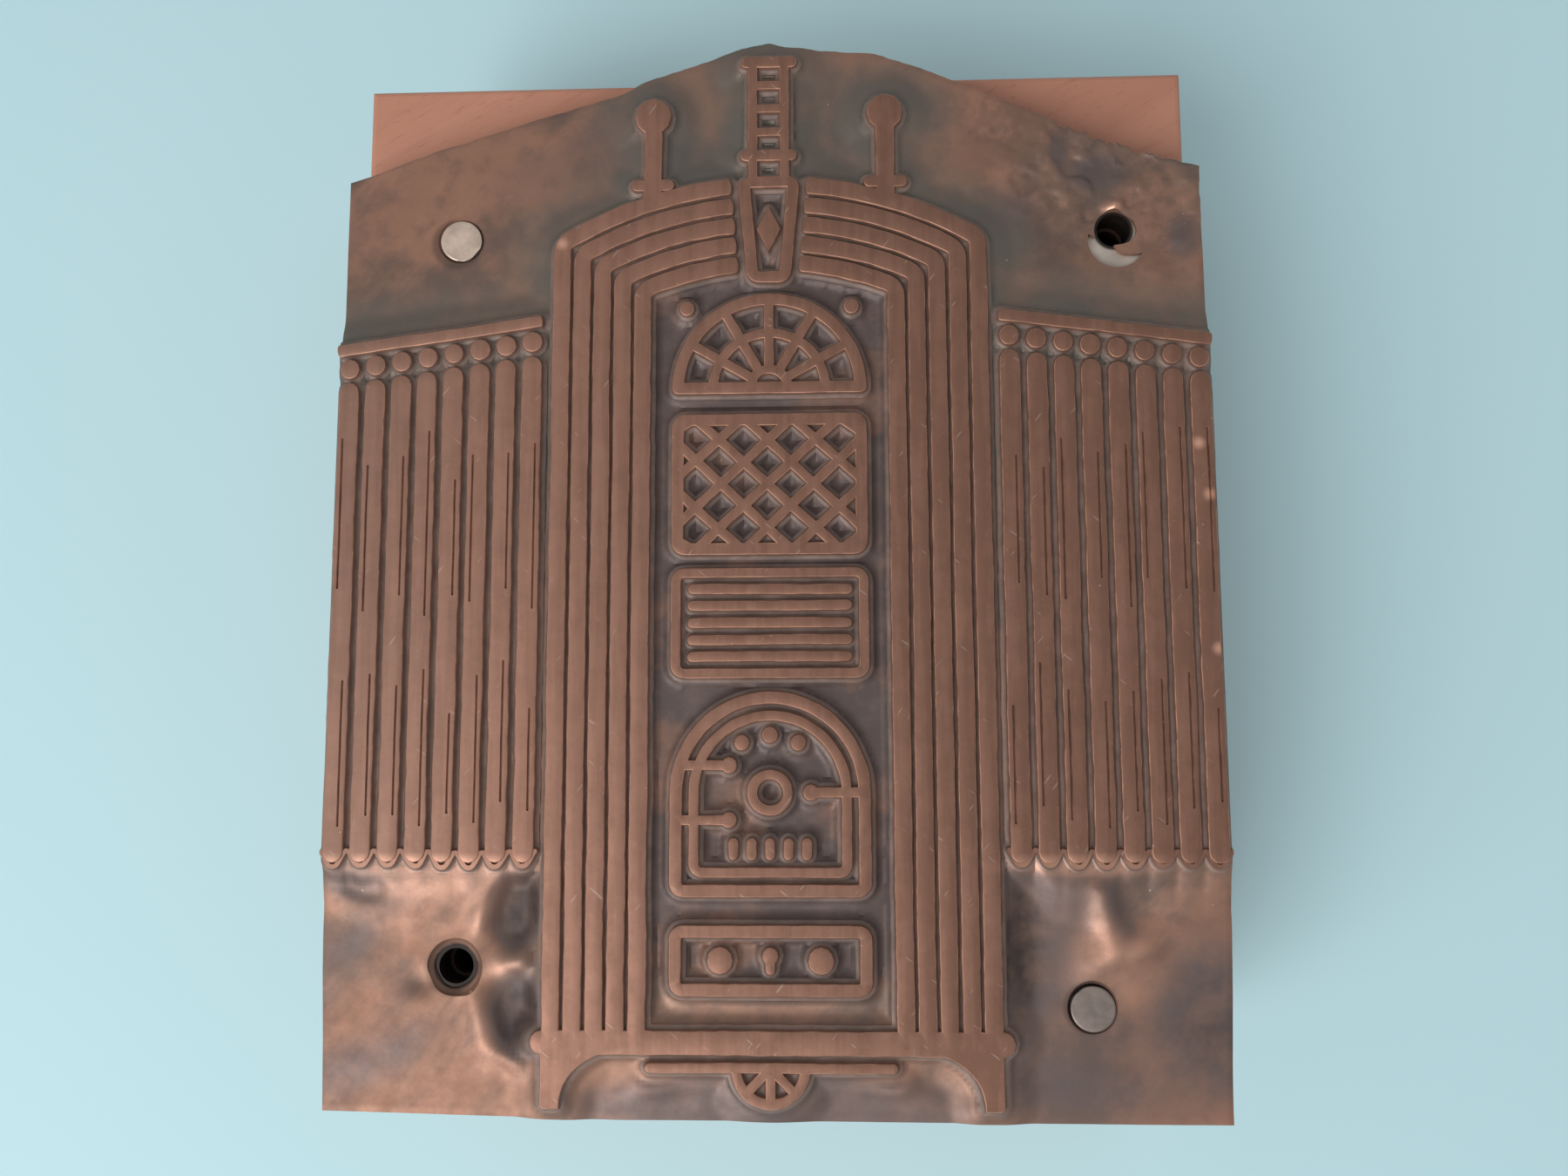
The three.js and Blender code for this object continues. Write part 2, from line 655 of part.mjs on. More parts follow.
const block = new THREE.Group();
block.add(meshOf("wood_block", woodBlock(), wood));
block.add(meshOf("backing_metal", backingMetal(), backing));
block.add(meshOf("copper_face", copperFace(), copper));
block.add(nail("top_left"), nail("bottom_right"));

export default block;
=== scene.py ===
"""A mounted printing block: a copper electrotype backed with cast metal and nailed on a wood block.

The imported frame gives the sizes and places. The copper face with its printing lines and molten ground,
the backing metal and the nails are worked out here, and the wood keeps the frame's own mesh and gets
its finish. Lengths are in metres.
"""

import json
import math
from collections import namedtuple

import bmesh
import bpy
import numpy as np
from bpy.props import FloatProperty, FloatVectorProperty, PointerProperty
from mathutils import Euler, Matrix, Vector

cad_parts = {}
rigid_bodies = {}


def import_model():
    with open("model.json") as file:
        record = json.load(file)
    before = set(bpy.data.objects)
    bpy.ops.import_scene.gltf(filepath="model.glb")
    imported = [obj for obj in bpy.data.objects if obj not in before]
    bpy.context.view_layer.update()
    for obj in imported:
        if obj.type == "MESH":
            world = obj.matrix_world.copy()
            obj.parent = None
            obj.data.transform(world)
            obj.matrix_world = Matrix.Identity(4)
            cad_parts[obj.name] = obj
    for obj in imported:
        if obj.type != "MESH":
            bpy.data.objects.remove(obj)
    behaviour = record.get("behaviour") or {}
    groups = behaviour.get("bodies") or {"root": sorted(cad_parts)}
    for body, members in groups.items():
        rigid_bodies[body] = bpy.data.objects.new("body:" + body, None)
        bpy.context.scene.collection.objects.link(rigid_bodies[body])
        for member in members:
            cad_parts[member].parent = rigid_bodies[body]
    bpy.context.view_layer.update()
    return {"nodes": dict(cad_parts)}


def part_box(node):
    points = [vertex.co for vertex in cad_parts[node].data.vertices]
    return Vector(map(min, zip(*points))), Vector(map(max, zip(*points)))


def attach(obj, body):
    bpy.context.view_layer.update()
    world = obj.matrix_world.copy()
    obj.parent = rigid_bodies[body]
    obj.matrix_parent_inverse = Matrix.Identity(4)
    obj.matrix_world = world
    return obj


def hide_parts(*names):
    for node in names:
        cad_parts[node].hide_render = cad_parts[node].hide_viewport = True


bl_info = {
    "name": "Mounted Printing Block",
    "version": (1, 0, 0),
    "blender": (4, 5, 0),
    "location": "View3D > Sidebar > Printing Block",
    "description": "Makes the copper face, the backing, the nails and the finishes of a printing block",
    "category": "Object",
}

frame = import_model()

MM = 0.001
MERGE = MM / 1000  # points nearer than this are one
ROOT = "root"

# The block as it is packed
copper_low, copper_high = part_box("copper_face")
backing_low, backing_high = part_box("backing_metal")
HALF_WIDTH = copper_high.x
FOOT_Y = copper_low.y
PLATE_LENGTH = copper_high.y - copper_low.y
FACE_Z = copper_high.z
SHELL_FOOT_Z = copper_low.z
WOOD_TOP_Z = backing_low.z

# Outline of the plate and places on it, as shares of its half width and of its length from the foot
GABLE_RISE = 9.3 * MM
# The gable's edge: shares of the half width and of the rise
GABLE_SHARES = [
    [-1, 0], [-0.95, 0.05], [-0.8, 0.225], [-0.67, 0.345], [-0.57, 0.44], [-0.345, 0.64],
    [-0.29, 0.735], [-0.19, 0.83], [-0.085, 0.935], [0, 1], [0.035, 0.96], [0.25, 0.905],
    [0.355, 0.79], [0.44, 0.68], [0.56, 0.52], [0.67, 0.37], [0.81, 0.21], [0.95, 0.05], [1, 0],
]
FOOT_SHARES = [[-1, 0.006], [-0.33, 0], [1, 0]]
CORNER_DRAW_SHARE = 0.012  # the sides draw in this much towards the foot corners
CORNER_REACH_SHARE = 0.17
TORN_SHARE = 0.79  # the gable is torn about here
TORN_REACH_SHARE = 0.13
HOLE_SHARES = {
    "top_left": [-0.729, 0.807],
    "top_right": [0.8, 0.808],
    "bottom_left": [-0.701, 0.131],
    "bottom_right": [0.697, 0.097],
}
NAILED = ["top_left", "bottom_right"]
BODY_HALF_SHARE = 0.497
BODY_SHOULDER_SHARE = 0.8
BODY_CROWN_SHARE = 0.858
BODY_FOOT_SHARE = 0.07
COLUMN_HALF_SHARE = 0.262
WING_INNER_HEAD_SHARE = 0.727
WING_OUTER_HEAD_SHARE = 0.7
WING_FOOT_SHARE = 0.225
WING_INNER_SHARE = 0.515
FAN_SHARE = 0.655
HALO_SHARE = 0.58
LATTICE_SHARES = [0.5, 0.63]
LOUVRE_SHARES = [0.388, 0.487]
DOOR_SHARES = [0.195, 0.375]
DRAWER_SHARES = [0.11, 0.17]
FLUE_TOP_SHARE = 0.972
FINIAL_TOP_SHARE = 0.92
FINIAL_PLACE_SHARE = 0.27

# Parts of the picture
STUD_PARTS = 40  # a stud is a line that runs this part of its diameter each way
FAN_BARS = 5
LOUVRES = 5
LATTICE_STEPS = 4
VENTS = 5
FLUE_BANDS = 3
SCALLOP_RAYS = 3
BEAD_GAP = 0.35 * MM
KEYSTONE_HALF = 2 * MM
KEYSTONE_TAPER = 0.6 * MM
KEYSTONE_DROP = 0.5 * MM
LOZENGE_HALF = 0.75 * MM
VENT_PITCH = 1.15 * MM
VENT_LENGTH = 1.3 * MM
STRAP = 3 * MM
STRAP_STEP = 1.7 * MM
SCALLOP_RADIUS = 2.4 * MM

# How the lines are cut
HAND = 0.04 * MM  # how far a line wanders
WANDER = 9 * MM  # wavelength of that
TREMBLE = WANDER / 4  # wavelength of its quicker wander
TREMBLE_SHARE = 0.4  # reach of that
STEP = 0.7 * MM  # between the points of a straight run
RIB_BEND = 0.9 * MM
SHARP_BEND = 0.25 * MM
FRAME_BEND = 0.5 * MM  # over half a frame's line, so that its inner edge doesn't fold
BLUNT_SHARE = 0.35  # reach of a blunt line end, against a round one
FLARE = 0.34 * MM
# From the eased edge of the top down the flank: shares of the flare and of the groove's depth
FLANK_SHARES = [
    [-0.1, 0], [0.01, 0.03], [0.1, 0.14], [0.2, 0.5], [0.34, 0.82], [0.6, 0.98], [1, 1.13], [1, 1.9],
]
UNEVEN_SHARE = 0.07  # how much a line's width varies
UNEVEN_WAVE = WANDER / 5  # wavelength of that
HAIR_HALF = 0.08 * MM
HAIR_DEPTH = 0.15 * MM
HAIR_SHARES = [[1.4, -0.4], [1, 0], [0.2, 1]]  # a scratch's section: of its half width and depth
HAIR_PLACE_SHARES = [-0.24, 0.22, 0.26]  # of a rib's width, off its middle
HAIR_RUN_SHARES = [[0.02, 0.4], [0.5, 0.93]]  # the two runs along a rib
HAIR_SHORT_SHARES = [0.08, 0.12]  # a run may start this much late and end this much early
BURR_HALF = 0.11 * MM
BURR_DROP = 0.1 * MM
BURR_END_SHARE = 0.06  # of a rib, left free at both ends
BURR_STEPS = 14  # across one rib
CAP_STEPS = 6  # round the end of a line
SEED = 7
WAVES = 5  # in one ripple
WAVE_SHARES = [0.7, 1.5]  # their lengths lie between these
# Where each group of lines starts in the seeded ripples
SEEDS = {
    "cornice": 30, "wing": 40, "fan": 80, "lattice": 100, "louvre": 120, "rail": 140, "finial": 150,
    "burr": 160, "hair": 200,
}

# The ground between the lines. A pair says where a change begins and where it is full
LEDGE = 0.02 * MM  # beside a line the ground lies this much below the groove's depth
LEDGE_REACH = [0.2 * MM, 0.65 * MM]  # off a line, from groove to pool
BANK_REACH = [0.6 * MM, 2.2 * MM]  # off a line, from pool to waste
BANK_TINT_AND_SHADE_REACH = 5.2 * MM  # off a line, where the greenish tint and the painted shade beside the banks end
OPEN_REACH = [0.45 * MM, 1.5 * MM]  # off a line, where mounds and ripples swell
BODY_REACH = [-0.3 * MM, 0.4 * MM]  # inwards over the body's outline
FAR = 6 * MM  # distances from the lines are worked out up to this
RIM_ROUND = 0.06 * MM
# Heights of the rough ground and depths of the gable's rough edge, each with its wavelength
TEARS = [[0.2 * MM, 2.8 * MM], [0.09 * MM, 1.3 * MM]]
TEAR_EDGE_SHARE = 0.35  # ripple at which a tear has its full depth
RIPPLES = [[0.03 * MM, 6 * MM], [0.008 * MM, 1.7 * MM]]
BED_RIPPLE = [0.012 * MM, 2.6 * MM]
EDGE_RIPPLES = [[0.08 * MM, 1.7 * MM], [0.03 * MM, 0.5 * MM]]
TORN_RIPPLES = [[0.5 * MM, 1.9 * MM], [0.4 * MM, 0.8 * MM]]
SMOOTH_END_SHARE = 0.05  # the gable's edge is smooth this near the sides
# Columns of the plate's grid as shares of its half width: from, to and how many
GRID_COLUMN_SHARES = [
    [-1, -0.992, 2], [-0.984, -0.28, 62], [-0.27, 0.27, 80], [0.28, 0.984, 96], [0.992, 1, 2],
]
# Its rows: those that bend with the foot, the level ones and those that bend with the gable
GRID_ROWS = [10, 212, 46]
LOW_BAND_SHARE = 0.035  # up the plate, where the level rows begin
HIGH_BAND_DROP = 1.45 * GABLE_RISE  # from the apex down to where they end

# Backing pads that fill the shell from below, the seats and the nails
PAD_INSET = 0.65 * MM  # from the body's and the wings' outlines
PAD_CLEARANCE = 0.05 * MM  # between the pads and the shell
SHELL_WALL = 0.35 * MM
COLUMN_DEPTH = 0.7 * MM  # from the face down to the wall over the body's pad
HOLE_RADIUS = 1.1 * MM  # of the bores in the backing
SEAT_CLEARANCE = 0.25 * MM
SEAT_DEPTH = 0.5 * MM
SEAT_LIP = 0.1 * MM
SNUG = 0.06 * MM  # the copper has closed round the nail heads to this
WORN_HOLE_SHARE = 1.18  # the empty holes in the copper, against the bores below them
# How their radius varies round them: share of the bore, waves round the hole and phase
WORN_WAVE_SHARES = {"bottom_left": [[0.06, 4, 1]], "top_right": [[0.08, 2, 0], [0.07, 3, 1]]}
SLIP_RADIUS = 1.9 * MM
SLIP_OFFSET = 0.75 * MM  # from the hole towards the foot
SLIP_ASIDE = 0.12 * MM  # and to the right
SLIP_DEPTH = 0.06 * MM  # into the backing
SLIP_TURN_DEG = [168, 330]  # the crescent runs round between these
# Inner edge of the crescent, as shares of its turn and of its radius
SLIP_SHARES = [[0, 1], [0.05, 0.6], [0.18, 0.3], [0.4, 0.2], [0.6, 0.28], [0.74, 0.5], [0.9, 0.74], [1, 1]]
SHANK_RADIUS = 0.8 * MM
NAIL_POINT = 1.8 * MM
HEAD_THICKNESS = 0.6 * MM
HEAD_ROUND = 0.14 * MM
HEAD_DENT = 0.012 * MM
# Painted shadow that lies to one side of a nail: how far its middle is off the head's, and how far it
# reaches
NAIL_SHADOWS = [
    ["top_left", [-0.25 * MM, -0.2 * MM], 0.5 * MM],
    ["bottom_right", [-0.2 * MM, 0.1 * MM], 0.35 * MM],
]
# How a nail's head is hammered: the way the facet faces, its depth as a share of the head's thickness,
# the share of the radius beyond which the edge is flat, and the roughness of the steel
Wear = namedtuple("Wear", "facet_deg facet_share flat_share roughness")
NAIL_WEAR = {
    "nail_top_left": Wear(-40, 0.16, 0.95, 0.42),
    "nail_bottom_right": Wear(130, 0.08, 0.97, 0.5),
}

# Sizes of the patterns in the finishes
WOOD_HEART = (0, 12 * MM, -34 * MM)  # the log's middle, below the block
CLOUD = 6 * MM
STREAK = 4 * MM
MOTTLE = 1.8 * MM
PATCH = 1.2 * MM
GRAIN = 0.6 * MM
DUST = 0.22 * MM
PORE = 0.16 * MM
SPECK = 1.3 * MM  # from one speck of dust to the next
# Heights of their bumps
MOTTLE_RISE = 0.06 * MM
SAW_RISE = 0.05 * MM
DENT_RISE = 0.04 * MM
GRAIN_RISE = 0.04 * MM
PORE_RISE = 0.02 * MM
FINE_RISE = 0.02 * MM
SCRATCH_RISE = 0.01 * MM
DUST_RISE = 0.008 * MM
# Angles at which they run
STREAK_TURN_DEG = -42
SCRATCH_TURNS_DEG = [-38, 52]
NAIL_TURN_DEG = 40
WOOD_TURN_DEG = 28

# Camera, fitted to the plate's and the wood's straight edges
CAMERA_PLACE = [3.85 * MM, -10.68 * MM, 100.35 * MM]
CAMERA_TURN_DEG = [6.268, 2.195, -0.201]
CAMERA_LENS = 28
SENSOR_WIDTH = 36
CLIP_NEAR = 5 * MM

# Stage
FLOOR_HALF = 2
LAMP_DISTANCE = 0.45
LAMP_SIZE = 0.3
LAMP_ELEVATION_DEG = 45
LAMP_DIRECTION_DEG = 231
LAMP_POWER = 1.5
SKY_STRENGTH = 0.5

# A printing line: its path, half its width, whether it closes, how far its top lies below the face, and
# the reach of its ends, where 1 is round
Stroke = namedtuple("Stroke", "path half closed top cap", defaults=(False, 0, 1))


def across(share):
    """A place across the plate from a share of its half width."""
    return share * HALF_WIDTH


def up(share):
    """A place along the plate from a share of its length from the foot edge."""
    return FOOT_Y + share * PLATE_LENGTH


def hole_place(name):
    """Middle of one of the four nail places."""
    return across(HOLE_SHARES[name][0]), up(HOLE_SHARES[name][1])


def length(name, description, default):
    """A length property."""
    return FloatProperty(name=name, description=description, default=default, unit="LENGTH")


def colour(name, description, default):
    """A colour property with linear values."""
    return FloatVectorProperty(name=name, description=description, default=default, subtype="COLOR")


class BlockSizes(bpy.types.PropertyGroup):
    """Sizes of the printing lines and of the ground between them."""

    line: length("Line", "Width of a plain printing line", 0.55 * MM)
    frame_line: length("Frame Line", "Width of a frame's line", 0.7 * MM)
    line_gap: length("Line Gap", "Gap between nested lines", 0.5 * MM)
    corner: length("Corner", "Corner radius of the frames", 0.9 * MM)
    stud: length("Stud", "Diameter of a stud", 1.5 * MM)
    rivet: length("Rivet", "Diameter of a rivet", 0.9 * MM)
    ring: length("Ring", "Diameter of the door's ring", 2.8 * MM)
    body_pitch: length("Body Rib Pitch", "Rib to rib in the body", 1.3 * MM)
    body_groove: length("Body Groove", "Groove between body ribs", 0.3 * MM)
    wing_pitch: length("Wing Rib Pitch", "Rib to rib in a wing", 1.75 * MM)
    wing_groove: length("Wing Groove", "Groove between wing ribs", 0.5 * MM)
    groove_depth: length("Groove Depth", "Face to the floor of a narrow groove", 0.38 * MM)
    pool_depth: length("Pool Depth", "Face to the open pools", 0.78 * MM)
    waste_depth: length("Waste Depth", "Face to the waste", 1.15 * MM)
    nail_head: length("Nail Head", "Diameter of a nail's head", 2.8 * MM)


class BlockColours(bpy.types.PropertyGroup):
    """Colours of the finishes."""

    face: colour("Face", "Handled copper on the lines", (0.36, 0.188, 0.132))
    # also painted shade: the lines turn to this colour to the right and at the far left edge
    face_dark: colour("Dark Face", "Browned copper on the lines", (0.215, 0.108, 0.072))
    # also the colour of the painted sheen, glints and edge highlights
    bare_and_sheen: colour("Bare Copper", "Rubbed copper on edges", (0.64, 0.35, 0.245))
    # at the left edge this colour is also a painted sheen over the lines
    dust: colour("Dust", "Pale dust and scratches", (0.6, 0.5, 0.43))
    groove: colour("Groove", "Grime in the grooves", (0.2, 0.135, 0.11))
    pool: colour("Pool", "Dark tarnish in the pools", (0.115, 0.08, 0.072))
    # its dark end, mixed towards the pool colour, is painted shade in the pockets beside the body
    violet: colour("Violet", "Violet tarnish beside and below the picture", (0.15, 0.112, 0.104))
    waste: colour("Waste", "Brown copper of the waste", (0.35, 0.185, 0.125))
    waste_dark: colour("Dark Waste", "Tarnish over the waste", (0.175, 0.115, 0.092))
    # also painted shade, laid beside the picture's banks
    bank: colour("Bank", "Greenish grey beside the picture", (0.155, 0.136, 0.115))
    pale: colour("Pale Copper", "Cleaner copper at the foot", (0.175, 0.1, 0.074))
    backing: colour("Backing Metal", "Cast alloy", (0.66, 0.57, 0.49))
    nail: colour("Nail", "Worn steel", (0.86, 0.67, 0.55))
    nail_dark: colour("Dark Nail", "Tarnished steel", (0.32, 0.26, 0.23))
    wood_light: colour("Light Wood", "Early wood", (0.47, 0.215, 0.14))
    wood_dark: colour("Dark Wood", "Late wood", (0.37, 0.155, 0.098))
    floor: colour("Floor", "Pale floor", (0.5, 0.72, 0.765))
    sky: colour("Sky", "Light from all round", (0.96, 0.98, 1))


# Shaping functions


def rise(value, low, high):
    """The smooth step: 0 below low, 1 above high, and 3t² - 2t³ between."""
    t = np.clip((value - low) / (high - low), 0, 1)
    return t * t * (3 - 2 * t)


def ripple(x, y, wavelength, seed):
    """The mean of a few crossed sine waves of about one wavelength with seeded directions, between
    -1 and 1."""
    random = np.random.default_rng(seed)
    total = np.zeros_like(x)
    for _ in range(WAVES):
        turn = random.uniform(0, 2 * np.pi)
        k = 2 * np.pi / (wavelength * random.uniform(*WAVE_SHARES))
        phase = random.uniform(0, 2 * np.pi)
        total += np.sin(k * (x * np.cos(turn) + y * np.sin(turn)) + phase)
    return total / WAVES


def bells(x, y, shares):
    """The sum of turned bell curves exp(-r to the power). Each row gives its place across and up, its
    two reaches as shares of the plate's half width, its turn in degrees, its height and its power."""
    total = np.zeros_like(x)
    for place, height_at, reach, side_reach, turn, height, power in shares:
        a = math.radians(turn)
        dx, dy = x - across(place), y - up(height_at)
        along = (dx * math.cos(a) + dy * math.sin(a)) / across(reach)
        over = (dy * math.cos(a) - dx * math.sin(a)) / across(side_reach)
        total += height * np.exp(-((along**2 + over**2) ** (power / 2)))
    return total


# Paths of the printing lines, each an array of points


def straight(x0, y0, x1, y1):
    """A straight run in even steps."""
    count = max(2, int(math.hypot(x1 - x0, y1 - y0) / STEP) + 1)
    t = np.linspace(0, 1, count)[:, None]
    return np.array([[x0, y0]]) * (1 - t) + np.array([[x1, y1]]) * t


def arc(x, y, radius, start, end, steps):
    """Points at even angles on a circle about (x, y)."""
    a = np.linspace(start, end, steps + 1)
    return np.c_[x + radius * np.cos(a), y + radius * np.sin(a)]


def circle(x, y, radius, steps=32):
    """A closed circle, its last point one step short of its first."""
    return arc(x, y, radius, 0, 2 * np.pi, steps)[:-1]


def bent(corners, radius, steps=5):
    """A closed outline whose corners are eased by the quadratic curve between the points that lie
    the radius before and after each corner."""
    p = np.array(corners, float)
    before, after = np.roll(p, 1, axis=0) - p, np.roll(p, -1, axis=0) - p
    a = p + before * radius / np.linalg.norm(before, axis=1)[:, None]
    b = p + after * radius / np.linalg.norm(after, axis=1)[:, None]
    t = np.linspace(0, 1, steps + 1)[None, :, None]
    curve = a[:, None] * (1 - t) ** 2 + p[:, None] * 2 * t * (1 - t) + b[:, None] * t**2
    return curve.reshape(-1, 2)


def framed_box(left, bottom, right, top, width, corner):
    """The middle line of a frame of this width inside a box."""
    h = width / 2
    left, bottom, right, top = left + h, bottom + h, right - h, top - h
    return bent([[left, bottom], [right, bottom], [right, top], [left, top]], corner - h)


def by_hand(path, seed, amount=HAND):
    """The path pushed along x and y by slow and by quicker ripples, as a hand-cut line wanders."""
    x, y = path.T
    slow = np.c_[ripple(x, y, WANDER, seed), ripple(x, y, WANDER, seed + 1)]
    quick = np.c_[ripple(x, y, TREMBLE, seed), ripple(x, y, TREMBLE, seed + 1)]
    return path + amount * (slow + TREMBLE_SHARE * quick)


def mirrored(path):
    """The path on the other side of the picture's middle."""
    return path * [-1, 1]


# The picture


def body_arch():
    """Radius and centre height of the body's shallow arch, from its half width and its rise."""
    half = across(BODY_HALF_SHARE)
    climb = (BODY_CROWN_SHARE - BODY_SHOULDER_SHARE) * PLATE_LENGTH
    radius = (half * half + climb * climb) / (2 * climb)
    return radius, up(BODY_CROWN_SHARE) - radius


def wing_head(x):
    """Height of a wing's sloping head at x."""
    inner = across(WING_INNER_SHARE)
    share = (abs(x) - inner) / (HALF_WIDTH - inner)
    return up(WING_INNER_HEAD_SHARE + share * (WING_OUTER_HEAD_SHARE - WING_INNER_HEAD_SHARE))


def wing_ribs(sizes):
    """The middle of each rib of the right wing, its width and its pitch."""
    inner = across(WING_INNER_SHARE)
    count = max(1, round((HALF_WIDTH - inner) / sizes.wing_pitch))
    pitch = (HALF_WIDTH - inner) / count
    return inner + (np.arange(count) + 0.5) * pitch, pitch - sizes.wing_groove, pitch


def panel_half(sizes):
    """Half width of the panels in the column."""
    return across(COLUMN_HALF_SHARE) - sizes.line_gap - sizes.frame_line


def stud(x, y, diameter):
    """A round stud: a line with hardly any length."""
    reach = diameter / STUD_PARTS
    return Stroke(np.array([[x, y - reach], [x, y + reach]]), diameter / 2)


def keystone_height():
    """From the keystone's head to its foot."""
    return across(BODY_HALF_SHARE) - across(COLUMN_HALF_SHARE) + KEYSTONE_DROP


def keystone_strokes(sizes):
    """The frame of the keystone, which narrows from the crown down."""
    h = sizes.frame_line / 2
    high = up(BODY_CROWN_SHARE)
    low = high - keystone_height()
    head, foot = KEYSTONE_HALF - h, KEYSTONE_HALF - KEYSTONE_TAPER - h
    corners = [[-foot, low + h], [foot, low + h], [head, high - h], [-head, high - h]]
    return [Stroke(bent(corners, FRAME_BEND), h, True)]


def body_strokes(sizes):
    """Nested ribs, each up one side and over the arch to the keystone, its corner rounded by a
    circle that touches the side and, from inside, the arch."""
    half = across(BODY_HALF_SHARE)
    crown = up(BODY_CROWN_SHARE)
    radius, centre = body_arch()
    span = half - across(COLUMN_HALF_SHARE)
    count = max(1, round(span / sizes.body_pitch))
    pitch = span / count
    width = pitch - sizes.body_groove
    strokes = []
    for i in range(count):
        inset = i * pitch + width / 2
        x, r = half - inset, radius - inset
        cx = x - RIB_BEND
        cy = centre + math.sqrt((r - RIB_BEND) ** 2 - cx * cx)
        lean = math.atan2(cy - centre, cx)
        taper = KEYSTONE_TAPER * (crown - centre - r) / keystone_height()
        stop = KEYSTONE_HALF - taper + sizes.line_gap + BLUNT_SHARE * width / 2
        side = straight(x, up(BODY_FOOT_SHARE), x, cy)
        corner = arc(cx, cy, RIB_BEND, 0, lean, steps=5)
        over = arc(0, centre, r, lean, math.acos(stop / r), steps=24)
        path = np.concatenate([side[:-1], corner[:-1], over])
        for run in (path, mirrored(path)):
            strokes.append(Stroke(by_hand(run, SEED + i), width / 2, cap=BLUNT_SHARE))
    return strokes


def wing_strokes(sizes):
    """On each side a sloping cornice, and under it one bead over each round-ended rib."""
    middles, width, _ = wing_ribs(sizes)
    half = sizes.frame_line / 2
    near, far = across(WING_INNER_SHARE) + half, HALF_WIDTH - half * BLUNT_SHARE
    cornice = straight(near, wing_head(near) - half, far, wing_head(far) - half)
    foot = up(WING_FOOT_SHARE) + width / 2
    strokes = []
    for side in (-1, 1):
        run = by_hand(cornice * [side, 1], SEEDS["cornice"] + side)
        strokes.append(Stroke(run, half, cap=BLUNT_SHARE))
        for i, x in enumerate(middles):
            bead = wing_head(x) - sizes.frame_line - BEAD_GAP - width / 2
            rib = straight(side * x, foot, side * x, bead - BEAD_GAP - width)
            strokes.append(stud(side * x, bead, width))
            strokes.append(Stroke(by_hand(rib, SEEDS["wing"] + i * side), width / 2))
    return strokes


def fan_strokes(sizes):
    """A half ring with a halo, a hub and spread bars on a level bar, and a rivet in each spandrel."""
    y = up(FAN_SHARE)
    panel = panel_half(sizes)
    line, frame_half = sizes.line / 2, sizes.frame_line / 2
    outer = panel - frame_half
    hub = sizes.stud - line
    strokes = [
        Stroke(arc(0, y, outer, 0, np.pi, steps=32), frame_half),
        Stroke(arc(0, y, panel * HALO_SHARE, 0, np.pi, steps=24), line),
        Stroke(arc(0, y, hub, 0, np.pi, steps=16), line),
        Stroke(straight(-outer, y, outer, y), frame_half),
    ]
    for i in range(1, FAN_BARS + 1):
        angle = i * np.pi / (FAN_BARS + 1)
        c, s = np.cos(angle), np.sin(angle)
        spoke = straight(hub * c, y + hub * s, outer * c, y + outer * s)
        strokes.append(Stroke(by_hand(spoke, SEEDS["fan"] + i), line))
    rivet = panel - sizes.rivet
    return strokes + [stud(side * rivet, y + rivet, sizes.rivet) for side in (-1, 1)]


def lattice_strokes(sizes):
    """Bars crossing both ways inside a rounded frame."""
    low, high = up(LATTICE_SHARES[0]), up(LATTICE_SHARES[1])
    panel = panel_half(sizes)
    half = sizes.frame_line / 2
    left, right, bottom, top = -panel + half, panel - half, low + half, high - half
    box = framed_box(-panel, low, panel, high, sizes.frame_line, sizes.corner)
    strokes = [Stroke(box, half, True)]
    step = 2 * panel / LATTICE_STEPS
    height = high - low
    for i in range(-LATTICE_STEPS, 2 * LATTICE_STEPS):
        x = -panel + (i + 0.5) * step
        start, end = max(left, x), min(right, x + height)
        if end - start < sizes.line:
            continue
        y0, y1 = np.clip([low + start - x, low + end - x], bottom, top)
        rising = straight(start, y0, end, y1)
        falling = straight(start, low + high - y0, end, low + high - y1)
        for run in (rising, falling):
            strokes.append(Stroke(by_hand(run, SEEDS["lattice"] + i), sizes.line / 2))
    return strokes


def louvre_strokes(sizes):
    """Level round-ended bars in a thin frame."""
    low, high = up(LOUVRE_SHARES[0]), up(LOUVRE_SHARES[1])
    panel = panel_half(sizes)
    border = sizes.line + sizes.line_gap / 2
    step = (high - low - 2 * border) / LOUVRES
    width = step - sizes.line_gap
    reach = panel - sizes.line - sizes.line_gap - width / 2
    box = framed_box(-panel, low, panel, high, sizes.line, sizes.corner)
    strokes = [Stroke(box, sizes.line / 2, True)]
    for i in range(LOUVRES):
        y = low + border + (i + 0.5) * step
        run = by_hand(straight(-reach, y, reach, y), SEEDS["louvre"] + i)
        strokes.append(Stroke(run, width / 2))
    return strokes


def arched_path(half, low, spring):
    """A closed arch: upright sides on a level sill, under a half circle."""
    bend = FRAME_BEND
    left = arc(-half + bend, low + bend, bend, np.pi, 1.5 * np.pi, steps=5)
    right = arc(half - bend, low + bend, bend, 1.5 * np.pi, 2 * np.pi, steps=5)
    side = straight(half, low + 2 * bend, half, spring - bend)
    head = arc(0, spring, half, 0, np.pi, steps=36)
    return np.concatenate([left, right, side, head, mirrored(side[::-1])])


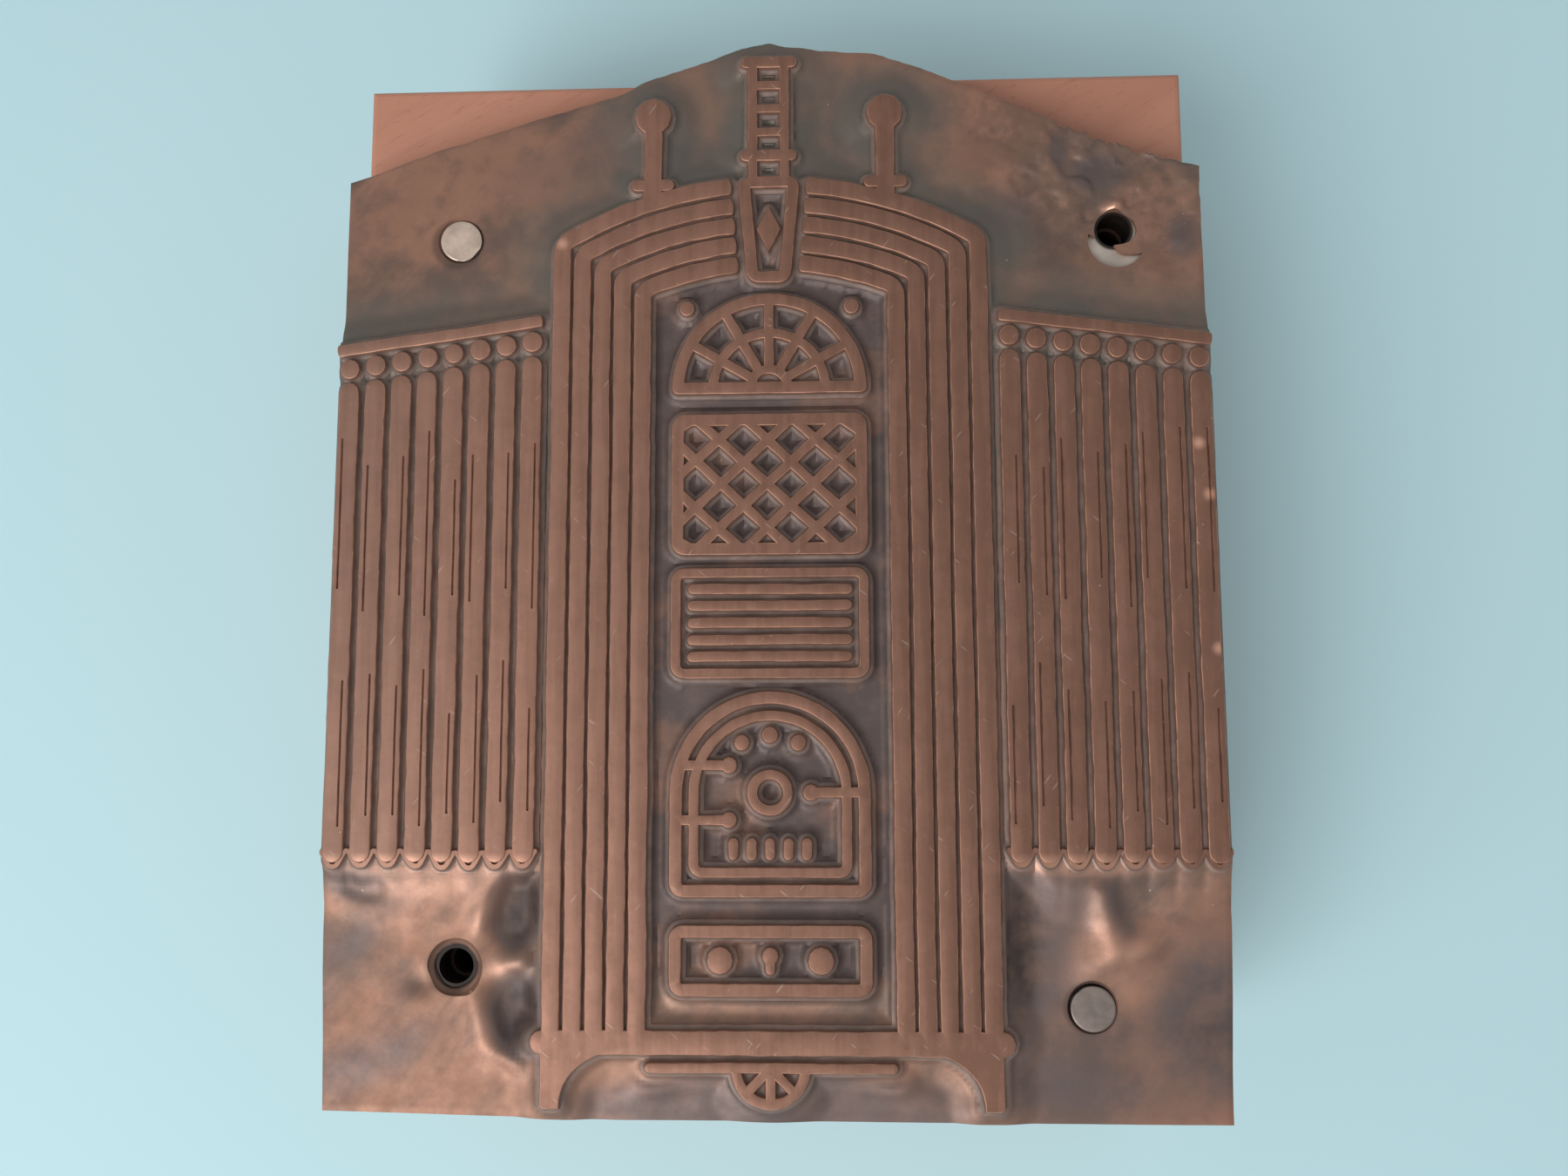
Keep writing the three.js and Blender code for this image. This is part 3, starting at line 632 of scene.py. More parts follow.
def door_strokes(sizes):
    """Two nested arched frames with a ring handle, two hinges and a latch on rivets, three rivets in
    its head and a row of vents at its foot."""
    low, high = up(DOOR_SHARES[0]), up(DOOR_SHARES[1])
    panel = panel_half(sizes)
    line = sizes.line / 2
    spring = high - panel
    nested = sizes.frame_line + sizes.line_gap
    outer, inner = sizes.frame_line / 2, nested + line
    strokes = [
        Stroke(arched_path(panel - outer, low + outer, spring), outer, True),
        Stroke(arched_path(panel - inner, low + inner, spring), line, True),
        Stroke(circle(0, spring, sizes.ring / 2 - line), line, True),
    ]
    reach = panel - sizes.frame_line
    for side, y in ((-1, spring - STRAP_STEP), (-1, spring + STRAP_STEP), (1, spring)):
        tip = side * (reach - STRAP)
        strokes.append(Stroke(straight(side * reach, y, tip, y), line))
        strokes.append(stud(tip, y, sizes.rivet))
    reach = panel - nested - sizes.stud
    for angle in (np.pi / 3, np.pi / 2, 2 * np.pi / 3):
        strokes.append(stud(reach * np.cos(angle), spring + reach * np.sin(angle), sizes.rivet))
    foot = low + nested + sizes.line + sizes.line_gap
    for i in range(VENTS):
        x = (i - (VENTS - 1) / 2) * VENT_PITCH
        strokes.append(Stroke(straight(x, foot + line, x, foot + VENT_LENGTH - line), line))
    return strokes


def drawer_strokes(sizes):
    """A framed drawer with two studs and a keyhole plate."""
    low, high = up(DRAWER_SHARES[0]), up(DRAWER_SHARES[1])
    panel = panel_half(sizes)
    box = framed_box(-panel, low, panel, high, sizes.frame_line, sizes.corner)
    middle = (low + high) / 2
    return [
        Stroke(box, sizes.frame_line / 2, True),
        stud(-panel / 2, middle, sizes.stud),
        stud(panel / 2, middle, sizes.stud),
        stud(0, middle + sizes.line / 2, sizes.rivet),
        Stroke(straight(0, middle, 0, middle - sizes.line), sizes.line / 2),
    ]


def plinth_strokes(sizes):
    """A thick bar under the body, and below it a thin rail with a scallop that hangs from it."""
    high = up(BODY_FOOT_SHARE)
    half = across(BODY_HALF_SHARE)
    line = sizes.line / 2
    column = across(COLUMN_HALF_SHARE)
    rail = high - sizes.frame_line - sizes.line_gap - line
    hub, reach = sizes.rivet / 2, SCALLOP_RADIUS - line
    strokes = [
        Stroke(straight(-half, high, half, high), sizes.frame_line),
        Stroke(by_hand(straight(-column, rail, column, rail), SEEDS["rail"]), line),
        Stroke(arc(0, rail, reach, np.pi, 2 * np.pi, steps=20), line),
    ]
    for i in range(1, SCALLOP_RAYS + 1):
        angle = np.pi + i * np.pi / (SCALLOP_RAYS + 1)
        c, s = np.cos(angle), np.sin(angle)
        ray = straight(hub * c, rail + hub * s, reach * c, rail + reach * s)
        strokes.append(Stroke(ray, sizes.line_gap / 2))
    return strokes


def headpiece_strokes(sizes):
    """A banded flue with two collars up to the apex, and at each side a ball finial on a collared
    stem."""
    radius, centre = body_arch()
    crown, top = up(BODY_CROWN_SHARE), up(FLUE_TOP_SHARE)
    side = sizes.line_gap + sizes.line
    collar = sizes.stud
    line, frame_half = sizes.line / 2, sizes.frame_line / 2
    strokes = [
        Stroke(straight(-side, crown, -side, top), line),
        Stroke(straight(side, crown, side, top), line),
        Stroke(straight(-collar, crown + collar, collar, crown + collar), frame_half),
        Stroke(straight(-collar, top, collar, top), frame_half),
    ]
    step = (top - crown - collar) / (FLUE_BANDS + 1)
    for i in range(1, FLUE_BANDS + 1):
        y = top - i * step
        strokes.append(Stroke(straight(-side, y, side, y), sizes.line_gap / 2))
    tip = up(FINIAL_TOP_SHARE)
    for x in (-across(FINIAL_PLACE_SHARE), across(FINIAL_PLACE_SHARE)):
        foot = centre + math.sqrt(radius**2 - x * x)
        neck = foot + sizes.frame_line
        strokes += [
            Stroke(by_hand(straight(x, foot, x, tip), SEEDS["finial"]), sizes.line),
            stud(x, tip, sizes.ring - sizes.line),
            Stroke(straight(x - side, neck, x + side, neck), frame_half),
        ]
    return strokes


def burr_strokes(sizes):
    """A thin burr below each wing's feet that rises to a cusp in each groove: its height over the
    feet follows the cube of |cos| across one rib."""
    middles, width, pitch = wing_ribs(sizes)
    count = len(middles)
    t = np.linspace(BURR_END_SHARE, count - BURR_END_SHARE, count * BURR_STEPS)
    cusp = np.abs(np.cos(np.pi * t)) ** 3
    y = up(WING_FOOT_SHARE) - sizes.line / 2 + (width / 2 + BEAD_GAP) * cusp
    path = np.c_[across(WING_INNER_SHARE) + t * pitch, y]
    runs = [by_hand(path * [side, 1], SEEDS["burr"] + side, 3 * HAND) for side in (-1, 1)]
    return [Stroke(run, BURR_HALF, top=BURR_DROP) for run in runs]


def picture_strokes(sizes):
    """Every printing line of the picture."""
    makers = [
        keystone_strokes, body_strokes, wing_strokes, fan_strokes, lattice_strokes, louvre_strokes,
        door_strokes, drawer_strokes, plinth_strokes, headpiece_strokes, burr_strokes,
    ]
    return [stroke for maker in makers for stroke in maker(sizes)]


def lozenge_outline():
    """The keystone's lozenge, twice as high as it is wide."""
    middle = up(BODY_CROWN_SHARE) - keystone_height() / 2
    wide, high = LOZENGE_HALF, 2 * LOZENGE_HALF
    return np.array([[0, middle - high], [wide, middle], [0, middle + high], [-wide, middle]])


def bracket_outline(sizes):
    """The right bracket foot: a quadratic curve from the plinth down to the toe, and a straight outer
    side with a small round at its foot."""
    high, low = up(BODY_FOOT_SHARE), FOOT_Y + 2 * sizes.line_gap
    inner, outer = across(COLUMN_HALF_SHARE), across(BODY_HALF_SHARE)
    toe = outer - 2 * sizes.line
    t = np.linspace(0, 1, 14)[:, None]
    start, bend = np.array([[inner, high]]), np.array([[toe, high - sizes.line]])
    end = np.array([[toe, low]])
    sweep = start * (1 - t) ** 2 + bend * 2 * t * (1 - t) + end * t**2
    corner = arc(outer - SHARP_BEND, low + SHARP_BEND, SHARP_BEND, 1.5 * np.pi, 2 * np.pi, steps=4)
    return np.concatenate([sweep, corner, [[outer, high]]])


def picture_patches(sizes):
    """Outlines of the filled forms: the lozenge and the two bracket feet."""
    bracket = bracket_outline(sizes)
    return [lozenge_outline(), bracket, mirrored(bracket)[::-1]]


def hair_strokes(sizes):
    """Fine scratches along the wing ribs, beside their middle, that stop part way."""
    random = np.random.default_rng(SEED)
    middles, width, _ = wing_ribs(sizes)
    low, high = up(WING_FOOT_SHARE) + width, up(WING_OUTER_HEAD_SHARE) - 3 * width
    hairs = []
    for x in np.concatenate([-middles, middles]):
        for start, end in HAIR_RUN_SHARES:
            a = start + random.uniform(0, HAIR_SHORT_SHARES[0])
            b = end - random.uniform(0, HAIR_SHORT_SHARES[1])
            place = x + width * random.choice(HAIR_PLACE_SHARES)
            path = straight(place, low + a * (high - low), place, low + b * (high - low))
            run = by_hand(path, SEEDS["hair"] + len(hairs), HAND / 2)
            hairs.append(Stroke(run, HAIR_HALF))
    return hairs


# Solids


def normals_of(path, closed):
    """The left-hand normal at each point, from the points on both sides of it. Its length varies a
    little, which makes the line's edges uneven."""
    if closed:
        ahead, behind = np.roll(path, -1, axis=0), np.roll(path, 1, axis=0)
    else:
        ahead = np.concatenate([path[1:], path[-1:]])
        behind = np.concatenate([path[:1], path[:-1]])
    t = ahead - behind
    t /= np.linalg.norm(t, axis=1)[:, None]
    uneven = 1 + UNEVEN_SHARE * ripple(*path.T, UNEVEN_WAVE, SEED)
    return np.c_[-t[:, 1], t[:, 0]] * uneven[:, None]


def swept(spine, out, offsets, heights, joined):
    """Points at spine + out times offset, at the face + height: a grid that closes along the spine
    and, where joined, round the profile too."""
    n, m = len(spine), len(offsets)
    flat = spine[:, None] + out[:, None] * offsets[None, :, None]
    level = np.broadcast_to(FACE_Z + heights, (n, m))
    points = np.concatenate([flat, level[:, :, None]], axis=2).reshape(-1, 3)
    i = np.arange(n)[:, None]
    j = np.arange(m if joined else m - 1)[None, :]
    i1, j1 = (i + 1) % n, (j + 1) % m
    faces = np.stack([i * m + j, i * m + j1, i1 * m + j1, i1 * m + j], axis=2).reshape(-1, 4)
    return points, faces.tolist()


def open_line(path, profile, cap):
    """A solid line with ends: the half profile carried up one side of the path, round its end, down
    the other side and round its start, and closed along its middle above and below."""
    normals = normals_of(path, False)
    turn = np.linspace(0, np.pi, CAP_STEPS + 1)[1:-1, None]

    def end_cap(point, side):
        """A half ellipse from this side of the line round its end to the other."""
        forward = np.array([side[1], -side[0]])
        out = np.cos(turn) * side + cap * np.sin(turn) * forward
        return np.repeat(point[None], len(out), 0), out

    tip, tip_normals = end_cap(path[-1], normals[-1])
    tail, tail_normals = end_cap(path[0], -normals[0])
    spine = np.concatenate([path, tip, path[::-1], tail])
    out = np.concatenate([normals, tip_normals, -normals[::-1], tail_normals])
    offsets = np.concatenate([[0], profile[:, 0], [0]])
    heights = np.concatenate([profile[:1, 1], profile[:, 1], profile[-1:, 1]])
    return swept(spine, out, offsets, heights, False)


def closed_line(path, profile):
    """A solid ring: the whole profile, and its mirror on the other side, carried round the path."""
    offsets = np.concatenate([-profile[::-1, 0], profile[:, 0]])
    heights = np.concatenate([profile[::-1, 1], profile[:, 1]])
    return swept(path, -normals_of(path, True), offsets, heights, True)


def solid_object(name, points, faces):
    """A closed mesh object with its doubled points merged and its faces pointing out."""
    mesh = bpy.data.meshes.new(name)
    mesh.from_pydata(np.asarray(points).tolist(), [], faces)
    bm = bmesh.new()
    bm.from_mesh(mesh)
    bmesh.ops.remove_doubles(bm, verts=bm.verts, dist=MERGE)
    bmesh.ops.dissolve_degenerate(bm, edges=bm.edges, dist=MERGE / 2)
    bmesh.ops.recalc_face_normals(bm, faces=bm.faces)
    if bm.calc_volume(signed=True) < 0:
        bmesh.ops.reverse_faces(bm, faces=bm.faces)
    bm.to_mesh(mesh)
    bm.free()
    return bpy.data.objects.new(name, mesh)


def line_solid(stroke, sizes):
    """One printing line as a closed solid, kept inside the plate's sides."""
    share, sink = np.array(FLANK_SHARES).T
    offsets = np.maximum(stroke.half + FLARE * share, stroke.half / 2)
    profile = np.c_[offsets, -np.maximum(sink * sizes.groove_depth, stroke.top)]
    if stroke.closed:
        points, faces = closed_line(stroke.path, profile)
    else:
        points, faces = open_line(stroke.path, profile, stroke.cap)
    side = HALF_WIDTH - HAND / 3
    points[:, 0] = np.clip(points[:, 0], -side, side)
    return solid_object("line", points, faces)


def patch_solid(outline, sizes):
    """A filled form: its outline carried down the flank and deep into the sheet."""
    share, sink = np.array(FLANK_SHARES).T
    heights = -sink * sizes.groove_depth
    heights[-1] = SHELL_FOOT_Z + SHELL_WALL / 2 - FACE_Z
    points, faces = swept(outline, -normals_of(outline, True), FLARE * share, heights, False)
    m = len(share)
    rings = np.arange(len(outline)) * m
    return solid_object("patch", points, faces + [rings.tolist(), (rings[::-1] + m - 1).tolist()])


def hair_cutter(stroke):
    """A thin wedge that cuts one scratch."""
    share, sink = np.array(HAIR_SHARES).T
    profile = np.c_[share * stroke.half, -sink * HAIR_DEPTH]
    return solid_object("hair", *open_line(stroke.path, profile, 1))


def prism(outline, low, high):
    """An upright prism of a closed outline."""
    n = len(outline)
    points = np.concatenate([np.c_[outline, np.full(n, low)], np.c_[outline, np.full(n, high)]])
    k = np.arange(n)
    sides = np.stack([k, (k + 1) % n, n + (k + 1) % n, n + k], axis=1).tolist()
    return solid_object("prism", points, sides + [k[::-1].tolist(), (n + k).tolist()])


def turned(name, x, y, profile, steps=48):
    """A profile of (radius, height) points, from axis to axis, turned about an upright axis."""
    profile = np.array(profile)
    m = len(profile)
    a = np.linspace(0, 2 * np.pi, steps, endpoint=False)
    ring = np.stack([np.cos(a), np.sin(a)], axis=1)
    flat = ring[:, None] * profile[None, :, :1] + [x, y]
    level = np.broadcast_to(profile[:, 1], (steps, m))
    points = np.concatenate([flat, level[:, :, None]], axis=2).reshape(-1, 3)
    i, j = np.arange(steps)[:, None], np.arange(m - 1)[None, :]
    i1 = (i + 1) % steps
    faces = np.stack([i * m + j, i1 * m + j, i1 * m + j + 1, i * m + j + 1], axis=2)
    return solid_object(name, points, faces.reshape(-1, 4).tolist())


def boolean(target, operation, objects):
    """Joins all the objects with the target or cuts them from it, and removes them."""
    group = bpy.data.collections.new("helpers")
    bpy.context.scene.collection.children.link(group)
    for one in objects:
        group.objects.link(one)
    step = target.modifiers.new("boolean", "BOOLEAN")
    step.operation = operation
    step.operand_type = "COLLECTION"
    step.collection = group
    step.solver = "MANIFOLD"
    graph = bpy.context.evaluated_depsgraph_get()
    mesh = bpy.data.meshes.new_from_object(target.evaluated_get(graph))
    if len(mesh.polygons) == 0:
        raise RuntimeError("a boolean left nothing")
    target.modifiers.clear()
    target.data = mesh
    for one in objects:
        bpy.data.objects.remove(one)
    bpy.data.collections.remove(group)


# The ground of the plate, with heights as shares of the waste's depth
MOUND_SHARES = [
    # left: a pocket in the corner, the ridge that leads down from it, lobes along the body
    [-0.56, 0.185, 0.06, 0.085, -8, -0.5, 5],
    [-0.635, 0.178, 0.028, 0.07, -28, 0.34, 2],
    [-0.55, 0.138, 0.055, 0.028, 12, 0.4, 2],
    [-0.55, 0.092, 0.06, 0.085, 10, -0.42, 5],
    [-0.64, 0.085, 0.03, 0.1, 15, 0.32, 2],
    [-0.57, 0.052, 0.07, 0.025, -25, 0.26, 2],
    [-0.91, 0.205, 0.06, 0.035, -20, -0.24, 4],
    [-0.8, 0.185, 0.12, 0.05, 10, 0.12, 2],
    [-0.7, 0.131, 0.13, 0.12, 0, 0.12, 2],
    [-0.65, 0.108, 0.04, 0.016, 45, 0.1, 2],
    [-0.775, 0.118, 0.03, 0.025, 0, -0.2, 2],
    [-0.88, 0.06, 0.16, 0.05, 35, 0.06, 2],
    # right: the cavity, its steep wall, the ridge over the nail, the swell below the feet
    [0.54, 0.15, 0.07, 0.2, 0, -0.22, 2],
    [0.64, 0.19, 0.07, 0.07, -10, 0.12, 2],
    [0.735, 0.175, 0.035, 0.1, 15, 0.5, 2],
    [0.715, 0.138, 0.06, 0.04, 35, 0.34, 2],
    [0.8, 0.148, 0.035, 0.03, 10, 0.4, 2],
    [0.93, 0.165, 0.1, 0.05, 12, 0.16, 2],
    [0.7, 0.04, 0.22, 0.08, -10, 0.05, 2],
    # foot, between the brackets
    [-0.26, 0.032, 0.09, 0.035, 20, 0.26, 2],
    [0.26, 0.034, 0.1, 0.035, -20, 0.3, 2],
    [0, 0.006, 0.3, 0.02, 0, -0.1, 2],
    # head
    [-0.5, 0.86, 0.24, 0.1, 25, 0.05, 2],
    [0.45, 0.87, 0.2, 0.1, -25, 0.06, 2],
]
# Where the ramp down to the waste is drawn out, with heights as shares of its reach
RAMP_SHARES = [
    [-0.78, 0.19, 0.2, 0.12, 6, 1.2, 4],
    [-0.58, 0.1, 0.06, 0.16, 0, 0.6, 4],
    [0.68, 0.2, 0.1, 0.1, -6, 1.1, 4],
    [0.9, 0.2, 0.12, 0.08, -6, 0.7, 4],
]
# The torn corner by the badly drilled hole, and single dents and lumps
TORN_SHARES = [[0.8, 0.86, 0.3, 0.17, -16, 1, 4]]
TORN_ZONE_SHARES = [[0.3, 0.6], [0.72, 0.8]]  # its stains begin and are full, across and up
DENT_SHARES = [
    [0.775, 0.865, 0.022, 0.09, 4, -0.22, 2],
    [0.7, 0.885, 0.02, 0.05, 10, -0.2, 2],
    [0.86, 0.868, 0.05, 0.03, 20, -0.2, 2],
    [0.93, 0.83, 0.04, 0.06, -30, -0.18, 2],
    [0.93, 0.77, 0.03, 0.07, 5, -0.2, 2],
    [0.6, 0.86, 0.05, 0.025, 40, -0.14, 2],
    [0.53, 0.85, 0.025, 0.05, 0, -0.12, 2],
    [0.66, 0.8, 0.02, 0.05, 15, -0.1, 2],
    [0.9, 0.897, 0.04, 0.02, -20, 0.2, 2],
    [0.797, 0.83, 0.022, 0.014, 0, 0.34, 2],
]
# Cleaner copper at the foot
PALE_SHARES = [
    [-0.85, 0.03, 0.42, 0.26, 0, 0.8, 4],
    [-0.76, 0.19, 0.16, 0.06, 8, 0.9, 4],
    [-0.635, 0.15, 0.035, 0.12, -25, 0.8, 2],
    [-0.65, 0.08, 0.03, 0.1, 22, 0.6, 2],
    [0.6, 0.2, 0.1, 0.03, -14, 0.7, 2],
]
# Painted sheen and glints on polished copper: the ramps below the wings, the ridges and the lips of
# the two empty holes
SHEEN_AND_RUBBED_SHARES = [
    [-0.757, 0.222, 0.25, 0.022, 0, 0.6, 4],
    [-0.74, 0.205, 0.13, 0.03, 4, 0.6, 2],
    [-0.64, 0.178, 0.025, 0.06, -28, 0.6, 2],
    [-0.59, 0.132, 0.045, 0.024, 12, 0.5, 2],
    [-0.63, 0.075, 0.018, 0.06, 15, 0.5, 2],
    [-0.66, 0.114, 0.035, 0.012, 45, 1.6, 2],
    [0.68, 0.222, 0.17, 0.022, 0, 0.8, 4],
    [0.71, 0.15, 0.055, 0.05, 40, 0.9, 2],
    [0.79, 0.12, 0.05, 0.05, -35, 0.5, 2],
    [0.8, 0.152, 0.035, 0.02, 10, 0.9, 2],
    [0.797, 0.828, 0.022, 0.014, 0, 1, 2],
]
# Violet tarnish with painted shade, darkest in the pockets beside the body and along its walls
VIOLET_AND_SHADE_SHARES = [
    [0.61, 0.16, 0.1, 0.17, -8, 0.9, 4],
    [0.53, 0.15, 0.055, 0.25, 0, 1.6, 2],
    [0.758, 0.18, 0.025, 0.08, 20, 1.2, 2],
    [-0.56, 0.185, 0.065, 0.09, -8, 2, 6],
    [-0.55, 0.09, 0.06, 0.095, 10, 1.9, 6],
    [0.82, 0.05, 0.3, 0.12, -5, 0.5, 4],
    [0.6, 0.03, 0.2, 0.06, -10, 0.6, 2],
    [-0.95, 0.212, 0.09, 0.05, -20, 1.3, 3],
    [0.97, 0.1, 0.14, 0.16, 20, 1.1, 3],
    [0, 0.01, 0.46, 0.09, 0, 1, 6],
    [-0.93, 0.045, 0.13, 0.06, 25, 0.8, 2],
    [-0.93, 0.15, 0.09, 0.04, 35, 0.7, 2],
    [-0.8, 0.06, 0.04, 0.12, -50, 0.5, 2],
    [-0.6, 0.085, 0.04, 0.05, -20, 0.8, 2],
    [0.676, 0.886, 0.022, 0.045, 0, 1.1, 2],
    [0.767, 0.863, 0.07, 0.045, 10, 1.3, 3],
    [0.935, 0.885, 0.09, 0.03, -16, 1.3, 3],
    [0.96, 0.8, 0.04, 0.06, 0, 1.2, 2],
    [0.57, 0.83, 0.1, 0.05, 30, 0.6, 2],
    [-0.42, 0.895, 0.26, 0.07, 24, 0.45, 4],
]
# Bright spots of clean copper on the lines; the one on the upper left rib's shoulder is a painted
# highlight
SPOT_SHARES = [[-0.48, 0.796], [0.96, 0.598], [0.98, 0.551], [0.986, 0.412]]
BANK_FADE_SHARES = [0.45, 0.62]  # up the plate the greenish tint and painted shade beside the banks grow
BANK_FOOT_SHARE = 0.2  # how strong they are below that
BANK_TORN_SHARE = 0.25  # and on the torn corner


def distance_to_lines(x, y, strokes):
    """From each point to the nearest line's edge: the least distance to its segments, less its
    half width."""
    points = np.c_[x.ravel(), y.ravel()]
    nearest = np.full(len(points), FAR)
    for stroke in strokes:
        a = stroke.path
        b = np.roll(a, -1, axis=0) if stroke.closed else a[1:]
        a = a if stroke.closed else a[:-1]
        low = stroke.path.min(0) - stroke.half - FAR
        high = stroke.path.max(0) + stroke.half + FAR
        near = np.flatnonzero(((points > low) & (points < high)).all(1))
        run = b - a
        away = points[near, None] - a[None]
        t = np.clip((away * run).sum(2) / (run * run).sum(1), 0, 1)
        gap = np.linalg.norm(away - t[:, :, None] * run, axis=2).min(1) - stroke.half
        nearest[near] = np.minimum(nearest[near], gap)
    return nearest.reshape(x.shape)


def inside_body(x, y):
    """How far a point lies inside the body's outline: the least of its insets from the sides, the
    foot and the arch."""
    radius, centre = body_arch()
    sides = across(BODY_HALF_SHARE) - np.abs(x)
    return np.minimum(np.minimum(sides, y - up(BODY_FOOT_SHARE)), radius - np.hypot(x, y - centre))


def head_line(u):
    """The gable's edge at shares of the half width: straight runs between its points, rough as
    sheared metal, and torn at one place."""
    share = np.interp(u, *np.array(GABLE_SHARES).T)
    torn = np.exp(-(((u - TORN_SHARE) / TORN_REACH_SHARE) ** 4))
    x = u * HALF_WIDTH
    rough = np.zeros_like(x)
    for seed, (edge, tear) in enumerate(zip(EDGE_RIPPLES, TORN_RIPPLES)):
        rough += np.abs(ripple(x, x * 0, edge[1], SEED + seed)) * (edge[0] + tear[0] * torn)
    return up(1) + (share - 1) * GABLE_RISE - rough * rise(1 - np.abs(u), 0, SMOOTH_END_SHARE)


def plate_grid():
    """A grid over the plate: rows are level in the middle and bend towards the foot edge and the
    gable's edge, and the sides draw in a little towards the foot corners."""
    u = np.concatenate([np.linspace(*run) for run in GRID_COLUMN_SHARES])
    x = u * HALF_WIDTH
    low_rows, level_rows, high_rows = GRID_ROWS
    low_band, high_band = up(LOW_BAND_SHARE), up(1) - HIGH_BAND_DROP
    head = head_line(u)
    foot = up(np.interp(u, *np.array(FOOT_SHARES).T))
    y = np.concatenate([
        foot + np.linspace(0, 1, low_rows)[:, None] * (low_band - foot),
        np.repeat(np.linspace(low_band, high_band, level_rows)[1:-1, None], len(x), 1),
        high_band + np.linspace(0, 1, high_rows)[:, None] * (head - high_band),
    ])
    reach = up(CORNER_REACH_SHARE)
    draw = 1 - CORNER_DRAW_SHARE * rise((reach - y) / (reach - FOOT_Y), 0, 1)
    return np.broadcast_to(x, y.shape) * draw, y


def rim_of(grid):
    """The grid's outer points in order, anticlockwise from the foot's left corner."""
    return np.concatenate([grid[0], grid[1:, -1], grid[-1, -2::-1], grid[-2:0:-1, 0]])


def ground_height(x, y, gap, sizes):
    """The ground sinks with its distance from the nearest line, from groove to pool and, outside the
    body, to waste. It swells with the mounds, dents and slow ripples where it lies open."""
    outside = 1 - rise(inside_body(x, y), *BODY_REACH)
    sunk = sizes.groove_depth + LEDGE
    drawn = 1 + bells(x, y, RAMP_SHARES)
    sunk += (sizes.pool_depth - sunk) * rise(gap, LEDGE_REACH[0], LEDGE_REACH[1] * drawn**2)
    sunk += (sizes.waste_depth - sunk) * rise(gap, BANK_REACH[0], BANK_REACH[1] * drawn) * outside
    swell = sizes.waste_depth * (bells(x, y, MOUND_SHARES) + bells(x, y, DENT_SHARES))
    torn = bells(x, y, TORN_SHARES)
    for seed, (amount, wavelength) in enumerate(TEARS):
        swell -= amount * torn * rise(ripple(x, y, wavelength, 3 * SEED + seed), 0, TEAR_EDGE_SHARE)
    for seed, (amount, wavelength) in enumerate(RIPPLES):
        swell += amount * ripple(x, y, wavelength, 2 * SEED + seed)
    swell *= rise(gap, *OPEN_REACH) * outside
    height = FACE_Z - sunk + swell + BED_RIPPLE[0] * ripple(x, y, BED_RIPPLE[1], SEED)
    return np.clip(height, SHELL_FOOT_Z + SHELL_WALL / 3, FACE_Z - sizes.groove_depth / 3)


def sheet_solid(sizes, strokes):
    """The plate's sheet: the ground over the grid, a small round at its rim, upright sides and a
    flat underside."""
    x, y = plate_grid()
    z = ground_height(x, y, distance_to_lines(x, y, strokes), sizes)
    rows, cols = x.shape
    top = np.stack([x, y, z], axis=2).reshape(-1, 3)
    index = np.arange(rows * cols).reshape(rows, cols)
    rim = rim_of(index)
    top[rim, 2] -= RIM_ROUND
    under = top[rim].copy()
    under[:, 2] = SHELL_FOOT_Z
    base, n = rows * cols, len(rim)
    quads = np.stack([index[:-1, :-1], index[:-1, 1:], index[1:, 1:], index[1:, :-1]], axis=2)
    k = np.arange(n)
    sides = np.stack([rim[k], base + k, base + (k + 1) % n, rim[(k + 1) % n]], axis=1)
    faces = quads.reshape(-1, 4).tolist() + sides.tolist() + [(base + k[::-1]).tolist()]
    mesh = bpy.data.meshes.new("copper_shell")
    mesh.from_pydata(np.concatenate([top, under]).tolist(), [], faces)
    return bpy.data.objects.new("copper_shell", mesh)


def pads(sizes, clearance):
    """The pads of backing metal under the body and the wings, larger all round by the clearance."""
    inset = PAD_INSET - clearance
    low = SHELL_FOOT_Z - SHELL_WALL
    half = across(BODY_HALF_SHARE) - inset
    radius, centre = body_arch()
    r = radius - inset
    turn = math.asin(half / r)
    foot = up(BODY_FOOT_SHARE) + inset
    over = arc(0, centre, r, np.pi / 2 - turn, np.pi / 2 + turn, steps=24)
    body = np.concatenate([[[-half, foot], [half, foot]], over])
    inner, outer = across(WING_INNER_SHARE) + inset, HALF_WIDTH - inset
    foot = up(WING_FOOT_SHARE) + inset
    wing = np.array([
        [inner, foot], [outer, foot], [outer, wing_head(outer) - inset], [inner, wing_head(inner) - inset],
    ])
    wing_top = FACE_Z - sizes.groove_depth - SHELL_WALL
    return [
        prism(body, low, FACE_Z - COLUMN_DEPTH - SHELL_WALL),
        prism(wing, low, wing_top),
        prism(mirrored(wing)[::-1], low, wing_top),
    ]


def snug_seat(sizes, name, shift=0):
    """The copper round a nail: it has closed in on the head, with an eased lip. The seat may lie off
    the head's middle, to the upper left."""
    waste = FACE_Z - sizes.waste_depth
    x, y = hole_place(name)
    radius = sizes.nail_head / 2 + SNUG
    below, above = WOOD_TOP_Z - SHELL_WALL, waste + SEAT_DEPTH
    lip = [[radius, waste - SEAT_LIP], [radius + SEAT_LIP, waste], [radius + 4 * SEAT_LIP, above]]
    return turned("seat", x - shift, y + shift, [[0, below], [radius, below], *lip, [0, above]])


def worn_hole(name):
    """Outline of an empty hole in the copper: a circle whose radius follows a few cosines round it."""
    x, y = hole_place(name)
    a = np.linspace(0, 2 * np.pi, 40, endpoint=False)
    share = WORN_HOLE_SHARE
    for height, waves, phase in WORN_WAVE_SHARES[name]:
        share = share + height * np.cos(waves * a + phase)
    radius = HOLE_RADIUS * share
    return np.c_[x + radius * np.cos(a), y + radius * np.sin(a)]


